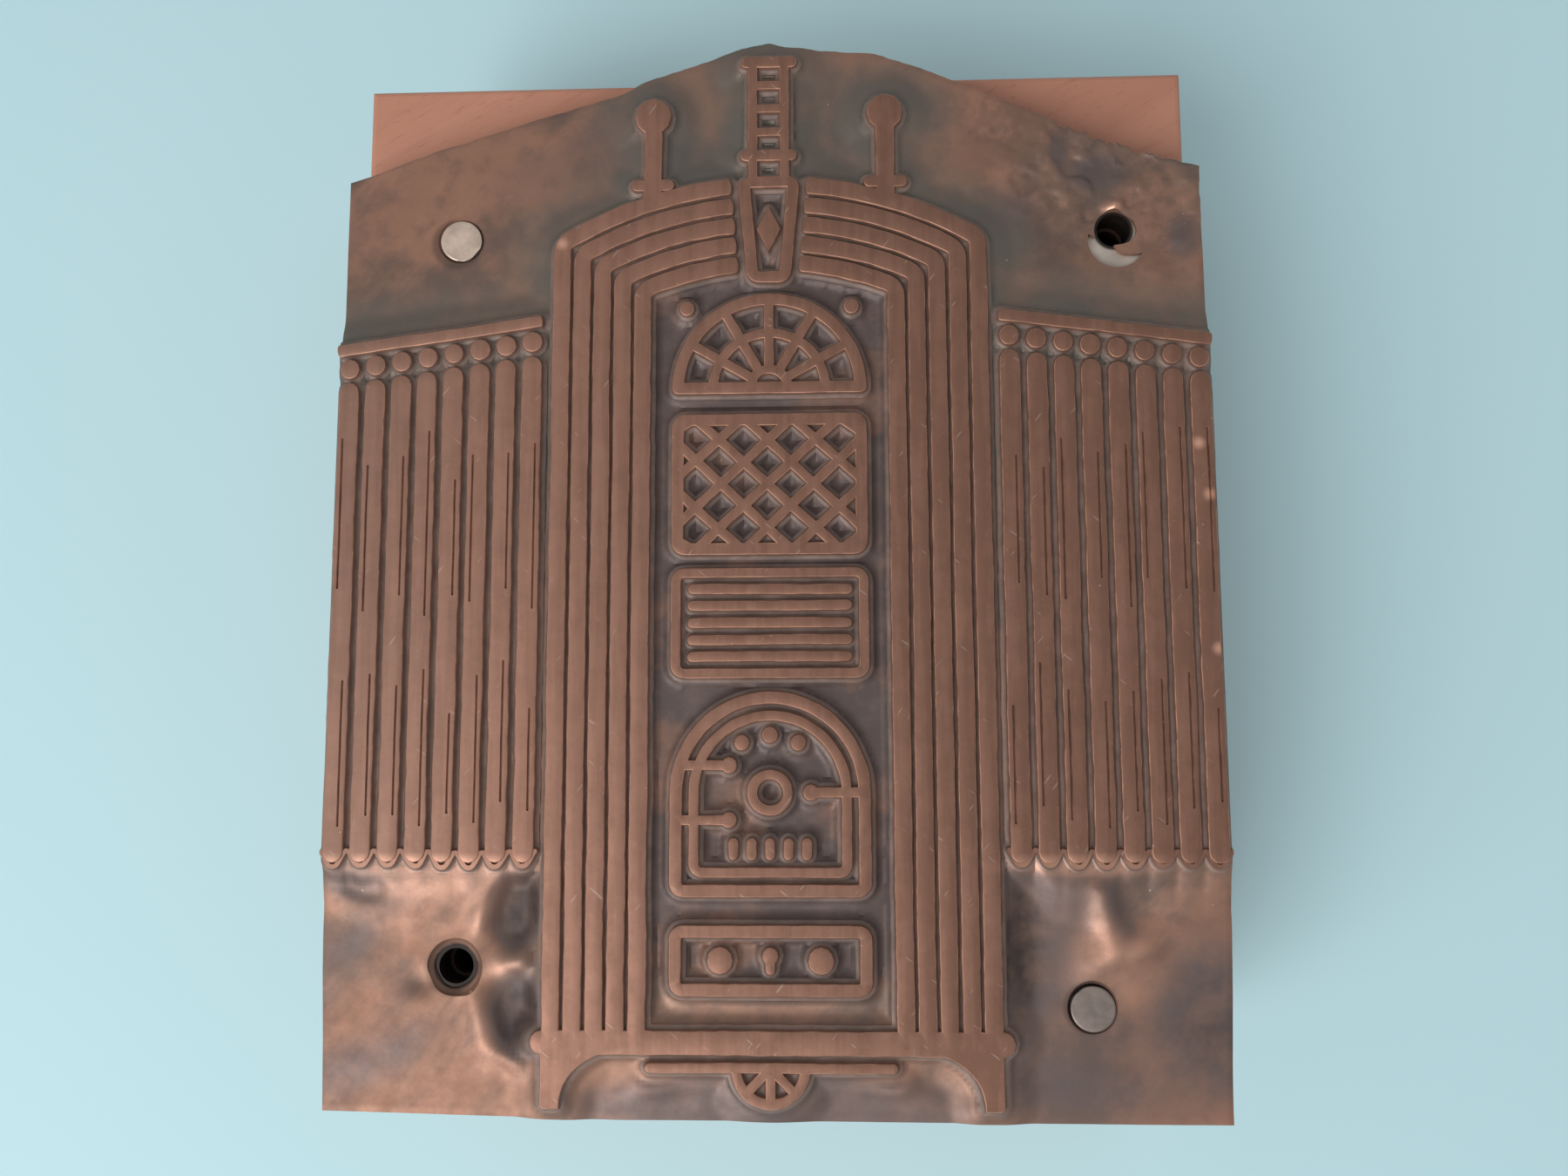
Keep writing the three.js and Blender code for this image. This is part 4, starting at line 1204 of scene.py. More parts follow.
def worn_seat(sizes, name):
    """The empty seat whose copper is left, worn to a cone, over a hole that isn't quite round."""
    waste = FACE_Z - sizes.waste_depth
    x, y = hole_place(name)
    kept = SHELL_FOOT_Z + SHELL_WALL / 6
    low, above = SHELL_FOOT_Z - SEAT_DEPTH, waste + SEAT_DEPTH
    rim = HOLE_RADIUS + 2 * SEAT_CLEARANCE
    cone = [[0, kept], [WORN_HOLE_SHARE * HOLE_RADIUS, kept], [rim, waste - SEAT_LIP]]
    lip = [[rim + SEAT_LIP, waste], [rim + 4 * SEAT_LIP, above], [0, above]]
    return [prism(worn_hole(name), low, above), turned("seat", x, y, cone + lip)]


def slip_cutters():
    """The badly drilled place: a small hole of uneven radius, and a crescent below it where the drill
    slipped. Its outer edge is a circle, and its inner edge runs into the hole on the left."""
    x, y = hole_place("top_right")
    low, high = SHELL_FOOT_Z - SEAT_DEPTH, FACE_Z
    s = np.linspace(0, 1, 32)
    turn = np.radians(SLIP_TURN_DEG[0] + (SLIP_TURN_DEG[1] - SLIP_TURN_DEG[0]) * s)
    out = np.c_[np.cos(turn), np.sin(turn)]
    inner = SLIP_RADIUS * np.interp(s, *np.array(SLIP_SHARES).T)
    centre = np.array([x + SLIP_ASIDE, y - SLIP_OFFSET])
    crescent = np.concatenate([centre + SLIP_RADIUS * out, centre + (inner[:, None] * out)[-2:0:-1]])
    return [prism(worn_hole("top_right"), low, high), prism(crescent, low, high + HAND)]


def backing_cutters(sizes):
    """The backing metal's holes, the seats of the two nails, and the shallow cut that the drill left
    off centre."""
    ledge, above = FACE_Z - sizes.waste_depth - SEAT_DEPTH, SHELL_FOOT_Z + SEAT_DEPTH
    below = WOOD_TOP_Z - SHELL_WALL
    seat = sizes.nail_head / 2 + SEAT_CLEARANCE
    cutters = []
    for name in HOLE_SHARES:
        x, y = hole_place(name)
        radius = seat if name in NAILED else HOLE_RADIUS
        hole = [[0, below], [HOLE_RADIUS, below], [HOLE_RADIUS, ledge], [radius, ledge]]
        cutters.append(turned("seat", x, y, [*hole, [radius, above], [0, above]]))
    x, y = hole_place("top_right")
    foot = SHELL_FOOT_Z - SLIP_DEPTH
    slip = [[0, foot], [SLIP_RADIUS, foot], [SLIP_RADIUS, above], [0, above]]
    return cutters + [turned("slip", x + SLIP_ASIDE, y - SLIP_OFFSET, slip)]


def points_of(mesh):
    """The places of a mesh's points, one row each."""
    places = np.empty(3 * len(mesh.vertices))
    mesh.vertices.foreach_get("co", places)
    return places.reshape(-1, 3)


def store(mesh, name, values):
    """Keeps a value, or a colour with four channels, at each point for the materials."""
    kind, key = ("FLOAT", "value") if values.ndim == 1 else ("FLOAT_COLOR", "color")
    mesh.attributes.new(name, kind, "POINT").data.foreach_set(key, values.ravel())


def paint(piece, strokes):
    """Stores three attributes at each point: gap, the distance to the lines in millimetres, the polished
    places with their painted sheen and glints, and the tones with painted shade, whose channels are the
    greenish tint with painted shade beside the banks, the pale copper, the violet tarnish with painted
    shade in the pockets and the share outside the body."""
    x, y, _ = points_of(piece.data).T
    gap = distance_to_lines(x, y, strokes)
    # beside the banks: a greenish tint with painted shade, stronger up the plate
    upper = rise(y, up(BANK_FADE_SHARES[0]), up(BANK_FADE_SHARES[1]))
    strength = BANK_FOOT_SHARE + (1 - BANK_FOOT_SHARE) * upper
    bank = (1 - rise(gap, BANK_REACH[0], BANK_TINT_AND_SHADE_REACH)) * strength
    bank = np.maximum(bank, BANK_TORN_SHARE * bells(x, y, TORN_SHARES))
    pale = np.clip(bells(x, y, PALE_SHARES), 0, 1)
    # violet tarnish, whose strongest places are painted shade in the pockets beside the body
    violet = np.clip(bells(x, y, VIOLET_AND_SHADE_SHARES), 0, 2) / 2
    outside = 1 - rise(inside_body(x, y), *BODY_REACH)
    store(piece.data, "gap", gap / MM)
    store(piece.data, "sheen_and_rubbed", np.clip(bells(x, y, SHEEN_AND_RUBBED_SHARES), 0, 1))
    store(piece.data, "stain_and_shade", np.stack([bank, pale, violet, outside], axis=1))


def smooth_by_weight(piece, angle_deg=40):
    """Smooth shading with edges sharper than the angle kept, and face-weighted normals."""
    mesh = piece.data
    mesh.polygons.foreach_set("use_smooth", np.ones(len(mesh.polygons), bool))
    mesh.set_sharp_from_angle(angle=math.radians(angle_deg))
    step = piece.modifiers.new("weighted", "WEIGHTED_NORMAL")
    step.keep_sharp = True


def finish_piece(piece, node, material):
    """Links a finished piece, gives it its material and ties it to the frame."""
    linked = bpy.context.scene.collection.objects
    if piece.name not in linked:
        linked.link(piece)
    piece.data.materials.clear()
    piece.data.materials.append(material)
    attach(piece, ROOT)
    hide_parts(node)


class BLOCK_OT_copper_face(bpy.types.Operator):
    """Makes the copper shell: ground, printing lines, scratches, seats and the hollows of its back"""

    bl_idname = "block.copper_face"
    bl_label = "Copper Face"

    def execute(self, context):
        sizes = context.scene.block_sizes
        strokes = picture_strokes(sizes)
        patches = picture_patches(sizes)
        edges = strokes + [Stroke(outline, BURR_HALF, True) for outline in patches]
        shell = sheet_solid(sizes, edges)
        context.scene.collection.objects.link(shell)
        raised = [line_solid(s, sizes) for s in strokes] + [patch_solid(p, sizes) for p in patches]
        boolean(shell, "UNION", raised)
        cutters = pads(sizes, PAD_CLEARANCE) + slip_cutters() + worn_seat(sizes, "bottom_left")
        cutters += [snug_seat(sizes, "top_left"), snug_seat(sizes, "bottom_right", SNUG)]
        boolean(shell, "DIFFERENCE", cutters + [hair_cutter(s) for s in hair_strokes(sizes)])
        paint(shell, edges)
        smooth_by_weight(shell)
        material = copper_material(context.scene.block_colours, sizes)
        finish_piece(shell, "copper_face", material)
        return {"FINISHED"}


class BLOCK_OT_backing(bpy.types.Operator):
    """Makes the cast backing metal: a slab under the shell, pads that fill it, seats and holes"""

    bl_idname = "block.backing"
    bl_label = "Backing Metal"

    def execute(self, context):
        sizes = context.scene.block_sizes
        x, y = plate_grid()
        slab = prism(np.c_[rim_of(x), rim_of(y)], WOOD_TOP_Z, SHELL_FOOT_Z)
        slab.name = "backing_slab"
        context.scene.collection.objects.link(slab)
        boolean(slab, "UNION", pads(sizes, 0))
        boolean(slab, "DIFFERENCE", backing_cutters(sizes))
        smooth_by_weight(slab, 30)
        material = backing_material(context.scene.block_colours)
        finish_piece(slab, "backing_metal", material)
        return {"FINISHED"}


def worn_nail(name, sizes, wear):
    """A pointed shank and a flat head with a rolled edge. One side of the head is hammered down: it
    sinks by the facet from the middle to the edge, its edge is flat beyond a share of the radius, and
    fine dents cover the head."""
    low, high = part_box(name)
    x, y = (low.x + high.x) / 2, (low.y + high.y) / 2
    head = sizes.nail_head / 2
    inner = head - HEAD_ROUND
    turn = np.linspace(0, np.pi / 2, 6)
    edge = np.c_[inner + HEAD_ROUND * np.cos(turn), high.z - HEAD_ROUND + HEAD_ROUND * np.sin(turn)]
    rings = np.linspace(inner, 0, 9)[1:]
    under = high.z - HEAD_THICKNESS
    shank = [[0, low.z], [SHANK_RADIUS, low.z + NAIL_POINT], [SHANK_RADIUS, under], [head, under]]
    profile = np.concatenate([shank, edge, np.c_[rings, np.full(len(rings), high.z)]])
    piece = turned(name + "_worn", x, y, profile, 64)
    points = points_of(piece.data)
    a = math.radians(wear.facet_deg)
    toward = (points[:, 0] - x) * math.cos(a) + (points[:, 1] - y) * math.sin(a)
    dents = HEAD_DENT * ripple(points[:, 0], points[:, 1], head, SEED) ** 2
    facet = wear.facet_share * HEAD_THICKNESS * rise(toward, 0, head)
    points[:, 2] = np.minimum(points[:, 2], high.z - facet - dents)
    over = np.maximum(toward - wear.flat_share * head, 0)
    points[:, 0] -= over * math.cos(a)
    points[:, 1] -= over * math.sin(a)
    piece.data.vertices.foreach_set("co", points.ravel())
    smooth_by_weight(piece)
    return piece


class BLOCK_OT_nails(bpy.types.Operator):
    """Makes the two nails, their heads worn and hammered down to one side"""

    bl_idname = "block.nails"
    bl_label = "Nails"

    def execute(self, context):
        colours, sizes = context.scene.block_colours, context.scene.block_sizes
        tones = {"nail_top_left": colours.nail, "nail_bottom_right": colours.nail_dark}
        for node, wear in NAIL_WEAR.items():
            piece = worn_nail(node, sizes, wear)
            finish_piece(piece, node, nail_material(node, tones[node], wear.roughness))
        return {"FINISHED"}


class BLOCK_OT_wood(bpy.types.Operator):
    """Gives the wood block its planed, fine-grained finish"""

    bl_idname = "block.wood"
    bl_label = "Wood"

    def execute(self, context):
        wood = frame["nodes"]["wood_block"]
        wood.data.materials.clear()
        wood.data.materials.append(wood_material(context.scene.block_colours))
        return {"FINISHED"}


# Materials


class NodeTree:
    """Short ways to add and join a material's nodes."""

    def __init__(self, name):
        """A new material, whose shader the other methods feed."""
        self.material = bpy.data.materials.new(name)
        self.material.use_nodes = True
        self.tree = self.material.node_tree
        self.shader = self.tree.nodes["Principled BSDF"]

    def feed(self, socket, value):
        """Joins an output to the socket, or sets the socket's own value."""
        if isinstance(value, bpy.types.NodeSocket):
            self.tree.links.new(value, socket)
        else:
            socket.default_value = value

    def add(self, kind, inputs=None, **settings):
        """A node with its settings, and its inputs set or joined."""
        node = self.tree.nodes.new(kind)
        for key, value in settings.items():
            setattr(node, key, value)
        for key, value in (inputs or {}).items():
            self.feed(node.inputs[key], value)
        return node

    def shade(self, **inputs):
        """Feeds the shader's sockets, named with underscores for spaces."""
        for key, value in inputs.items():
            self.feed(self.shader.inputs[key.replace("_", " ")], value)

    def place(self):
        """Object coordinates."""
        return self.add("ShaderNodeTexCoord").outputs["Object"]

    def axes(self):
        """Object coordinates, each axis on its own."""
        return self.add("ShaderNodeSeparateXYZ", {"Vector": self.place()}).outputs

    def channels(self, tone):
        """A colour's red, green and blue."""
        return self.add("ShaderNodeSeparateColor", {"Color": tone}).outputs

    def stretched(self, stretch, turn_deg=0):
        """Object coordinates in which a pattern is stretched along turned axes."""
        turn = (0, 0, math.radians(turn_deg))
        inputs = {"Vector": self.place(), "Scale": stretch, "Rotation": turn}
        return self.add("ShaderNodeMapping", inputs, vector_type="TEXTURE").outputs["Vector"]

    def attribute(self, name, output):
        """A value or colour that is stored at the points."""
        return self.add("ShaderNodeAttribute", attribute_name=name).outputs[output]

    def noise(self, size, detail=4, roughness=0.55, vector=None):
        """Clouds whose largest lumps have this size."""
        inputs = {"Vector": vector or self.place(), "Scale": 1 / size, "Detail": detail}
        return self.add("ShaderNodeTexNoise", {**inputs, "Roughness": roughness}).outputs["Fac"]

    def span(self, value, low, high, to_low=0, to_high=1):
        """The smooth step from one range to another."""
        inputs = {"Value": value, "From Min": low, "From Max": high, "To Min": to_low, "To Max": to_high}
        return self.add("ShaderNodeMapRange", inputs, interpolation_type="SMOOTHSTEP").outputs["Result"]

    def mix(self, factor, a, b):
        """Two colours blended by the factor."""
        node = self.add("ShaderNodeMix", data_type="RGBA")
        for socket, value in zip((node.inputs[0], node.inputs[6], node.inputs[7]), (factor, a, b)):
            self.feed(socket, value)
        return node.outputs[2]

    def specks(self, size, share, radius_share):
        """1 on scattered round specks: this share of the cells of about this size hold one."""
        inputs = {"Vector": self.place(), "Scale": 1 / size}
        cells = self.add("ShaderNodeTexVoronoi", inputs).outputs
        chosen = self.work("LESS_THAN", self.channels(cells["Color"])[0], share)
        return self.times(chosen, self.span(cells["Distance"], 0, radius_share, 1, 0))

    def hairs(self, width, reach, turn_deg, low):
        """1 on scattered fine scratches of about this width and reach, at this angle."""
        vector = self.stretched((1, reach / width, 1), turn_deg)
        return self.span(self.noise(width, 1, 0.5, vector), low, low + 0.04)

    def work(self, operation, a, b):
        """One operation on two values."""
        return self.add("ShaderNodeMath", {0: a, 1: b}, operation=operation).outputs[0]

    def times(self, a, b):
        """The product of two values."""
        return self.work("MULTIPLY", a, b)

    def total(self, first, *others):
        """The sum of the values."""
        for other in others:
            first = self.work("ADD", first, other)
        return first

    def most(self, first, *others):
        """The largest of the values."""
        for other in others:
            first = self.work("MAXIMUM", first, other)
        return first

    def distance(self, a, b):
        """From one place to another."""
        return self.add("ShaderNodeVectorMath", {0: a, 1: b}, operation="DISTANCE").outputs["Value"]

    def near(self, places, low, high):
        """1 within the low distance of an upright axis at any of these places, 0 beyond the high one."""
        flat = self.add("ShaderNodeVectorMath", {0: self.place(), 1: (1, 1, 0)}, operation="MULTIPLY")
        near = 0
        for x, y in places:
            away = self.distance(flat.outputs["Vector"], (x, y, 0))
            near = self.most(near, self.span(away, low, high, 1, 0))
        return near

    def bump(self, layers):
        """Stacked bumps of (height, strength, distance), the coarsest first."""
        normal = None
        for height, strength, distance in layers:
            inputs = {"Height": height, "Strength": strength, "Distance": distance}
            if normal:
                inputs["Normal"] = normal
            normal = self.add("ShaderNodeBump", inputs).outputs["Normal"]
        self.shade(Normal=normal)


def rgba(tone, scale=1):
    """A colour socket's value."""
    return (*(c * scale for c in tone), 1)


def line_tone(t, z, x, colours, sizes):
    """Handled copper with mottled brown patina, darker to the right and at the far left edge as painted
    shade, a painted pale sheen at the left edge, faintly dusty and pitted, with fine scratches, and worn
    copper with painted highlights along its edges."""
    mottle, dust = t.noise(MOTTLE, 6, 0.65), t.noise(DUST, 3, 0.6)
    drawn = t.noise(GRAIN, 3, 0.6, t.stretched((1, 14, 1)))
    # partly mottled patina and partly painted shade: darker to the right and at the far left edge
    browning_and_shade = t.total(
        t.span(x, -HALF_WIDTH, HALF_WIDTH / 2, 0, 0.75),
        t.span(x, -HALF_WIDTH, -HALF_WIDTH / 2, 0.4, 0),
        t.span(mottle, 0.3, 0.75, 0, 0.3),
        t.span(drawn, 0.35, 0.7, -0.12, 0.2),
    )
    tone = t.mix(browning_and_shade, rgba(colours.face), rgba(colours.face_dark))
    tone = t.mix(t.span(dust, 0.6, 0.78, 0, 0.3), tone, rgba(colours.bare_and_sheen, 0.6))
    tone = t.mix(t.span(dust, 0.4, 0.25, 0, 0.4), tone, rgba(colours.groove))
    # a painted pale sheen over the lines at the left edge, then real scratches and dust specks
    dust_and_sheen = t.span(x, -HALF_WIDTH, -HALF_WIDTH / 2, 0.06, 0)
    for turn_deg in SCRATCH_TURNS_DEG:
        dust_and_sheen = t.most(dust_and_sheen, t.times(t.hairs(DUST, MOTTLE, turn_deg, 0.74), 0.3))
    dust_and_sheen = t.most(dust_and_sheen, t.times(t.specks(SPECK, 0.1, 0.07), 0.6))
    tone = t.mix(dust_and_sheen, tone, rgba(colours.dust))
    return t.mix(bare_and_highlit_edges(t, z, sizes), tone, rgba(colours.bare_and_sheen))


def bare_and_highlit_edges(t, z, sizes):
    """Where the lines show clean copper, partly worn and partly painted highlight: between their shoulder
    and their flat top, on the polished places with their painted sheen, and on a few bright spots."""
    depth = sizes.groove_depth
    shoulder = t.span(z, FACE_Z - 0.3 * depth, FACE_Z - 0.08 * depth)
    flat = t.span(z, FACE_Z - 0.03 * depth, FACE_Z - 0.005 * depth)
    edge = t.work("SUBTRACT", shoulder, flat)
    # along each line's edge: worn copper and painted highlight
    worn = t.times(edge, t.span(t.noise(PATCH), 0.35, 0.65, 0.1, 0.7))
    # painted sheen and glints that also show on the lines
    sheen_and_rubbed = t.times(t.attribute("sheen_and_rubbed", "Fac"), 0.7)
    spots = t.near([(across(share), up(height)) for share, height in SPOT_SHARES], 0, GRAIN)
    return t.most(worn, sheen_and_rubbed, spots)


def torn_zone(t):
    """1 on the plate's torn corner, fading in from the left and from below."""
    axes = t.axes()
    (left, right), (low, high) = TORN_ZONE_SHARES
    return t.times(t.span(axes["X"], across(left), across(right)), t.span(axes["Y"], up(low), up(high)))


def waste_tone(t, stain_and_shade, colours):
    """Clouds of brown and tarnish with blotches and streaks, a greenish tint with painted shade beside the
    picture, cleaner copper at the foot, violet tarnish that darkens to painted shade in the pockets beside
    the body, a painted sheen and glints on the polished places, and dust."""
    bank, pale, violet = t.channels(stain_and_shade)[:3]
    clouds, mottle = t.noise(CLOUD, 6, 0.58), t.noise(MOTTLE, 6, 0.6)
    streaks = t.noise(STREAK, 6, 0.65, t.stretched((1, 3, 1), STREAK_TURN_DEG))
    brushed = t.noise(PATCH, 6, 0.65, t.stretched((1, 4, 1), STREAK_TURN_DEG))
    tone = t.mix(t.span(clouds, 0.4, 0.64), rgba(colours.waste), rgba(colours.waste_dark))
    tone = t.mix(t.span(streaks, 0.5, 0.68, 0, 0.6), tone, rgba(colours.waste, 1.2))
    tone = t.mix(t.span(mottle, 0.5, 0.75, 0, 0.45), tone, rgba(colours.waste_dark, 0.85))
    blotches = t.times(t.span(t.noise(STREAK, 8, 0.66), 0.46, 0.56), 0.4)
    tone = t.mix(t.times(torn_zone(t), blotches), tone, rgba(colours.waste_dark, 0.7))
    # greenish tint and painted shade beside the banks
    tone = t.mix(t.times(bank, t.span(clouds, 0.3, 0.6, 0.7, 1)), tone, rgba(colours.bank))
    cleaner = t.mix(t.span(brushed, 0.36, 0.62), rgba(colours.pale, 1.1), rgba(colours.waste, 0.8))
    cleaner = t.mix(t.span(clouds, 0.54, 0.68, 0, 0.45), cleaner, rgba(colours.violet, 1.1))
    tone = t.mix(t.times(pale, t.span(mottle, 0.3, 0.6, 0.65, 1)), tone, cleaner)
    # painted shade: in the pockets and along the body's walls the violet tarnish darkens towards the pool
    # colour
    tarnish = t.mix(t.span(violet, 0.4, 0.9), rgba(colours.violet), rgba(colours.pool, 0.45))
    violet = t.times(t.span(violet, 0, 0.5), t.span(mottle, 0.3, 0.7, 0.7, 1))
    tone = t.mix(violet, tone, tarnish)
    # painted sheen and glints on the ramps, the ridges and the lips of the empty holes
    sheen_and_rubbed = t.times(t.attribute("sheen_and_rubbed", "Fac"), t.span(mottle, 0.25, 0.6, 0.5, 1))
    tone = t.mix(sheen_and_rubbed, tone, rgba(colours.bare_and_sheen, 0.85))
    return t.mix(t.times(t.specks(SPECK, 0.1, 0.08), 0.6), tone, rgba(colours.dust))


def ground_tone(t, z, gap, stain_and_shade, colours, sizes):
    """Grime close to the lines. Away from them the body has dark pools, and outside it lies the
    waste with its own tones."""
    mottle = t.noise(MOTTLE, 6, 0.65)
    groove = t.mix(t.span(mottle, 0.35, 0.7), rgba(colours.groove, 0.8), rgba(colours.groove, 1.25))
    pool = t.mix(t.span(mottle, 0.4, 0.7, 0, 0.7), rgba(colours.pool, 0.85), rgba(colours.pool, 1.35))
    pool = t.mix(t.span(t.noise(CLOUD, 6, 0.6), 0.5, 0.68, 0, 0.8), pool, rgba(colours.waste, 0.7))
    depth = sizes.pool_depth
    deep = t.most(t.span(z, FACE_Z - 0.9 * depth, FACE_Z - 0.58 * depth, 1, 0), t.span(gap, 0.15, 0.35))
    inside = t.mix(deep, groove, pool)
    outside = t.mix(t.span(gap, 0.08, 0.5), groove, waste_tone(t, stain_and_shade["Color"], colours))
    return t.mix(stain_and_shade["Alpha"], inside, outside)


def shaded_holes(t, ground, colours, sizes):
    """The ground with a painted shadow to one side of each nail and round the lip of the empty hole at the
    bottom left, most on its left, and painted shade that makes that hole nearly black inside."""
    # painted shadow and painted shade, in darkened copies of the groove's colour
    shadow_tone, black = rgba(colours.groove, 0.4), rgba(colours.groove, 0.12)
    seat = sizes.nail_head / 2 + SNUG
    for name, aside, reach in NAIL_SHADOWS:
        x, y = hole_place(name)
        nail_shadow = t.near([(x + aside[0], y + aside[1])], seat, seat + reach)
        ground = t.mix(t.times(nail_shadow, 0.6), ground, shadow_tone)
    # painted shadow round the empty hole's lip, most on its left, and painted shade nearly black inside it
    x, y = hole_place("bottom_left")
    lip = HOLE_RADIUS + 2 * SEAT_CLEARANCE
    ring = t.near([(x - 2 * SEAT_LIP, y - SEAT_LIP)], lip - SEAT_LIP, lip + 3 * SEAT_LIP)
    ground = t.mix(t.times(ring, 0.5), ground, shadow_tone)
    return t.mix(t.near([(x, y)], lip - 3 * SEAT_LIP, lip - SEAT_LIP), ground, black)


def copper_material(colours, sizes):
    """Handled copper on the lines, over the tones of the ground. The lines and the cleaner ground
    shine more than the tarnish."""
    t = NodeTree("copper patina")
    axes = t.axes()
    x, z = axes["X"], axes["Z"]
    gap = t.attribute("gap", "Fac")
    stain_and_shade = t.add("ShaderNodeAttribute", attribute_name="stain_and_shade").outputs
    ground = shaded_holes(t, ground_tone(t, z, gap, stain_and_shade, colours, sizes), colours, sizes)
    depth = sizes.groove_depth
    lifted = t.span(z, FACE_Z - 0.8 * depth, FACE_Z - 0.16 * depth)
    t.shade(Base_Color=t.mix(lifted, ground, line_tone(t, z, x, colours, sizes)))
    clean = t.times(stain_and_shade["Alpha"], t.span(gap, 0.1, 0.5))
    clean = t.times(clean, t.span(t.channels(stain_and_shade["Color"])["Blue"], 0.3, 0.9, 1, 0.2))
    t.shade(Metallic=t.span(t.most(lifted, clean), 0, 1, 0.25, 0.65))
    satin = t.span(t.noise(PATCH), 0.25, 0.75, 0.48, 0.6)
    polish = t.times(t.attribute("sheen_and_rubbed", "Fac"), 0.16)
    t.shade(Roughness=t.work("SUBTRACT", satin, polish))
    mottle, fine, dust = t.noise(MOTTLE, 6, 0.65), t.noise(GRAIN / 2), t.noise(DUST, 3)
    t.bump([(mottle, 0.25, MOTTLE_RISE), (fine, 0.22, FINE_RISE), (dust, 0.2, DUST_RISE)])
    return t.material


def backing_material(colours):
    """Dull cast alloy, clouded and sawn, with painted shade that makes it nearly black round its holes. At
    the badly drilled one the painted shade lies in the bore."""
    t = NodeTree("cast backing")
    saw = t.noise(GRAIN, 3, 0.6, t.stretched((4, 4, 0.4)))
    clouds = t.span(t.noise(MOTTLE, 5), 0.3, 0.75)
    tone = t.mix(clouds, rgba(colours.backing, 0.66), rgba(colours.backing, 0.9))
    tone = t.mix(t.span(saw, 0.55, 0.75, 0, 0.3), tone, rgba(colours.backing, 0.4))
    # painted shade: nearly black round the nails' seats and in the holes and bores
    others = [hole_place(name) for name in HOLE_SHARES if name != "top_right"]
    bore = t.near([hole_place("top_right")], 1.1 * HOLE_RADIUS, 1.3 * HOLE_RADIUS)
    painted_hole_shade = t.most(bore, t.near(others, 2 * HOLE_RADIUS, 3 * HOLE_RADIUS))
    tone = t.mix(painted_hole_shade, tone, rgba(colours.groove, 0.12))
    t.shade(Base_Color=tone, Metallic=0.5, Roughness=t.span(saw, 0.2, 0.8, 0.4, 0.6))
    t.bump([(saw, 0.35, SAW_RISE), (t.noise(GRAIN / 2), 0.2, FINE_RISE)])
    return t.material


def nail_material(name, tone, roughness):
    """Worn steel, clouded and finely scratched."""
    t = NodeTree(name)
    clouds = t.noise(PATCH, 5)
    scratches = t.noise(DUST, 3, 0.6, t.stretched((3, 0.6, 1), NAIL_TURN_DEG))
    shade = t.mix(t.span(clouds, 0.3, 0.75), rgba(tone, 0.72), rgba(tone))
    shade = t.mix(t.span(scratches, 0.6, 0.75, 0, 0.4), shade, rgba(tone, 1.35))
    t.shade(Base_Color=shade, Metallic=0.85)
    t.shade(Roughness=t.span(clouds, 0.2, 0.8, roughness - 0.06, roughness + 0.08))
    t.bump([(clouds, 0.3, DENT_RISE), (scratches, 0.25, SCRATCH_RISE)])
    return t.material


def wood_material(colours):
    """Fine, even grain in soft bands that run aslant across the block, with short pores, painted light
    that makes its left side lighter, and painted shade that makes it nearly black at the holes."""
    t = NodeTree("planed wood")
    aslant = t.stretched((6, 1, 1), WOOD_TURN_DEG)
    grain, pores = t.noise(GRAIN, 4, 0.6, aslant), t.noise(PORE, 2, 0.5, aslant)
    radius = t.distance(t.stretched((40, 1, 1), WOOD_TURN_DEG), WOOD_HEART)
    radius = t.total(radius, t.times(t.noise(CLOUD, 3, 0.5, aslant), PATCH))
    rings = t.noise(STREAK, 5, 0.6, t.add("ShaderNodeCombineXYZ", {"X": radius}).outputs[0])
    bands = t.span(rings, 0.36, 0.64)
    tone = t.mix(bands, rgba(colours.wood_dark), rgba(colours.wood_light))
    # painted light: lighter towards the left, the side the lamp lights
    painted_left_light = t.span(t.axes()["X"], -HALF_WIDTH, HALF_WIDTH, 0.35, 0)
    tone = t.mix(painted_left_light, tone, rgba(colours.wood_light, 1.35))
    tone = t.mix(t.span(grain, 0.5, 0.75, 0, 0.3), tone, rgba(colours.wood_dark, 0.85))
    tone = t.mix(t.span(pores, 0.62, 0.75, 0, 0.4), tone, rgba(colours.wood_dark, 0.6))
    # painted shade: nearly black round the holes, where the wood shows down the bores
    wood_hole_shade = t.near([hole_place(name) for name in HOLE_SHARES], HOLE_RADIUS, 1.6 * HOLE_RADIUS)
    tone = t.mix(wood_hole_shade, tone, rgba(colours.wood_dark, 0.12))
    t.shade(Base_Color=tone, Roughness=0.6)
    t.bump([(grain, 0.2, GRAIN_RISE), (pores, 0.25, PORE_RISE)])
    return t.material


# Camera, floor and light


class BLOCK_OT_stage(bpy.types.Operator):
    """Makes the pale floor, the soft light and the camera"""

    bl_idname = "block.stage"
    bl_label = "Stage"

    def execute(self, context):
        scene = context.scene
        make_camera(scene)
        make_floor(scene)
        make_sky(scene)
        make_lamp(scene)
        scene.view_settings.view_transform = "Standard"
        return {"FINISHED"}


def make_camera(scene):
    """The camera that looks down on the face, a little from the foot and from the right."""
    data = bpy.data.cameras.new("camera")
    data.lens = CAMERA_LENS
    data.sensor_width = SENSOR_WIDTH
    data.clip_start = CLIP_NEAR
    camera = bpy.data.objects.new("camera", data)
    camera.location = CAMERA_PLACE
    camera.rotation_euler = Euler([math.radians(a) for a in CAMERA_TURN_DEG])
    scene.collection.objects.link(camera)
    scene.camera = camera


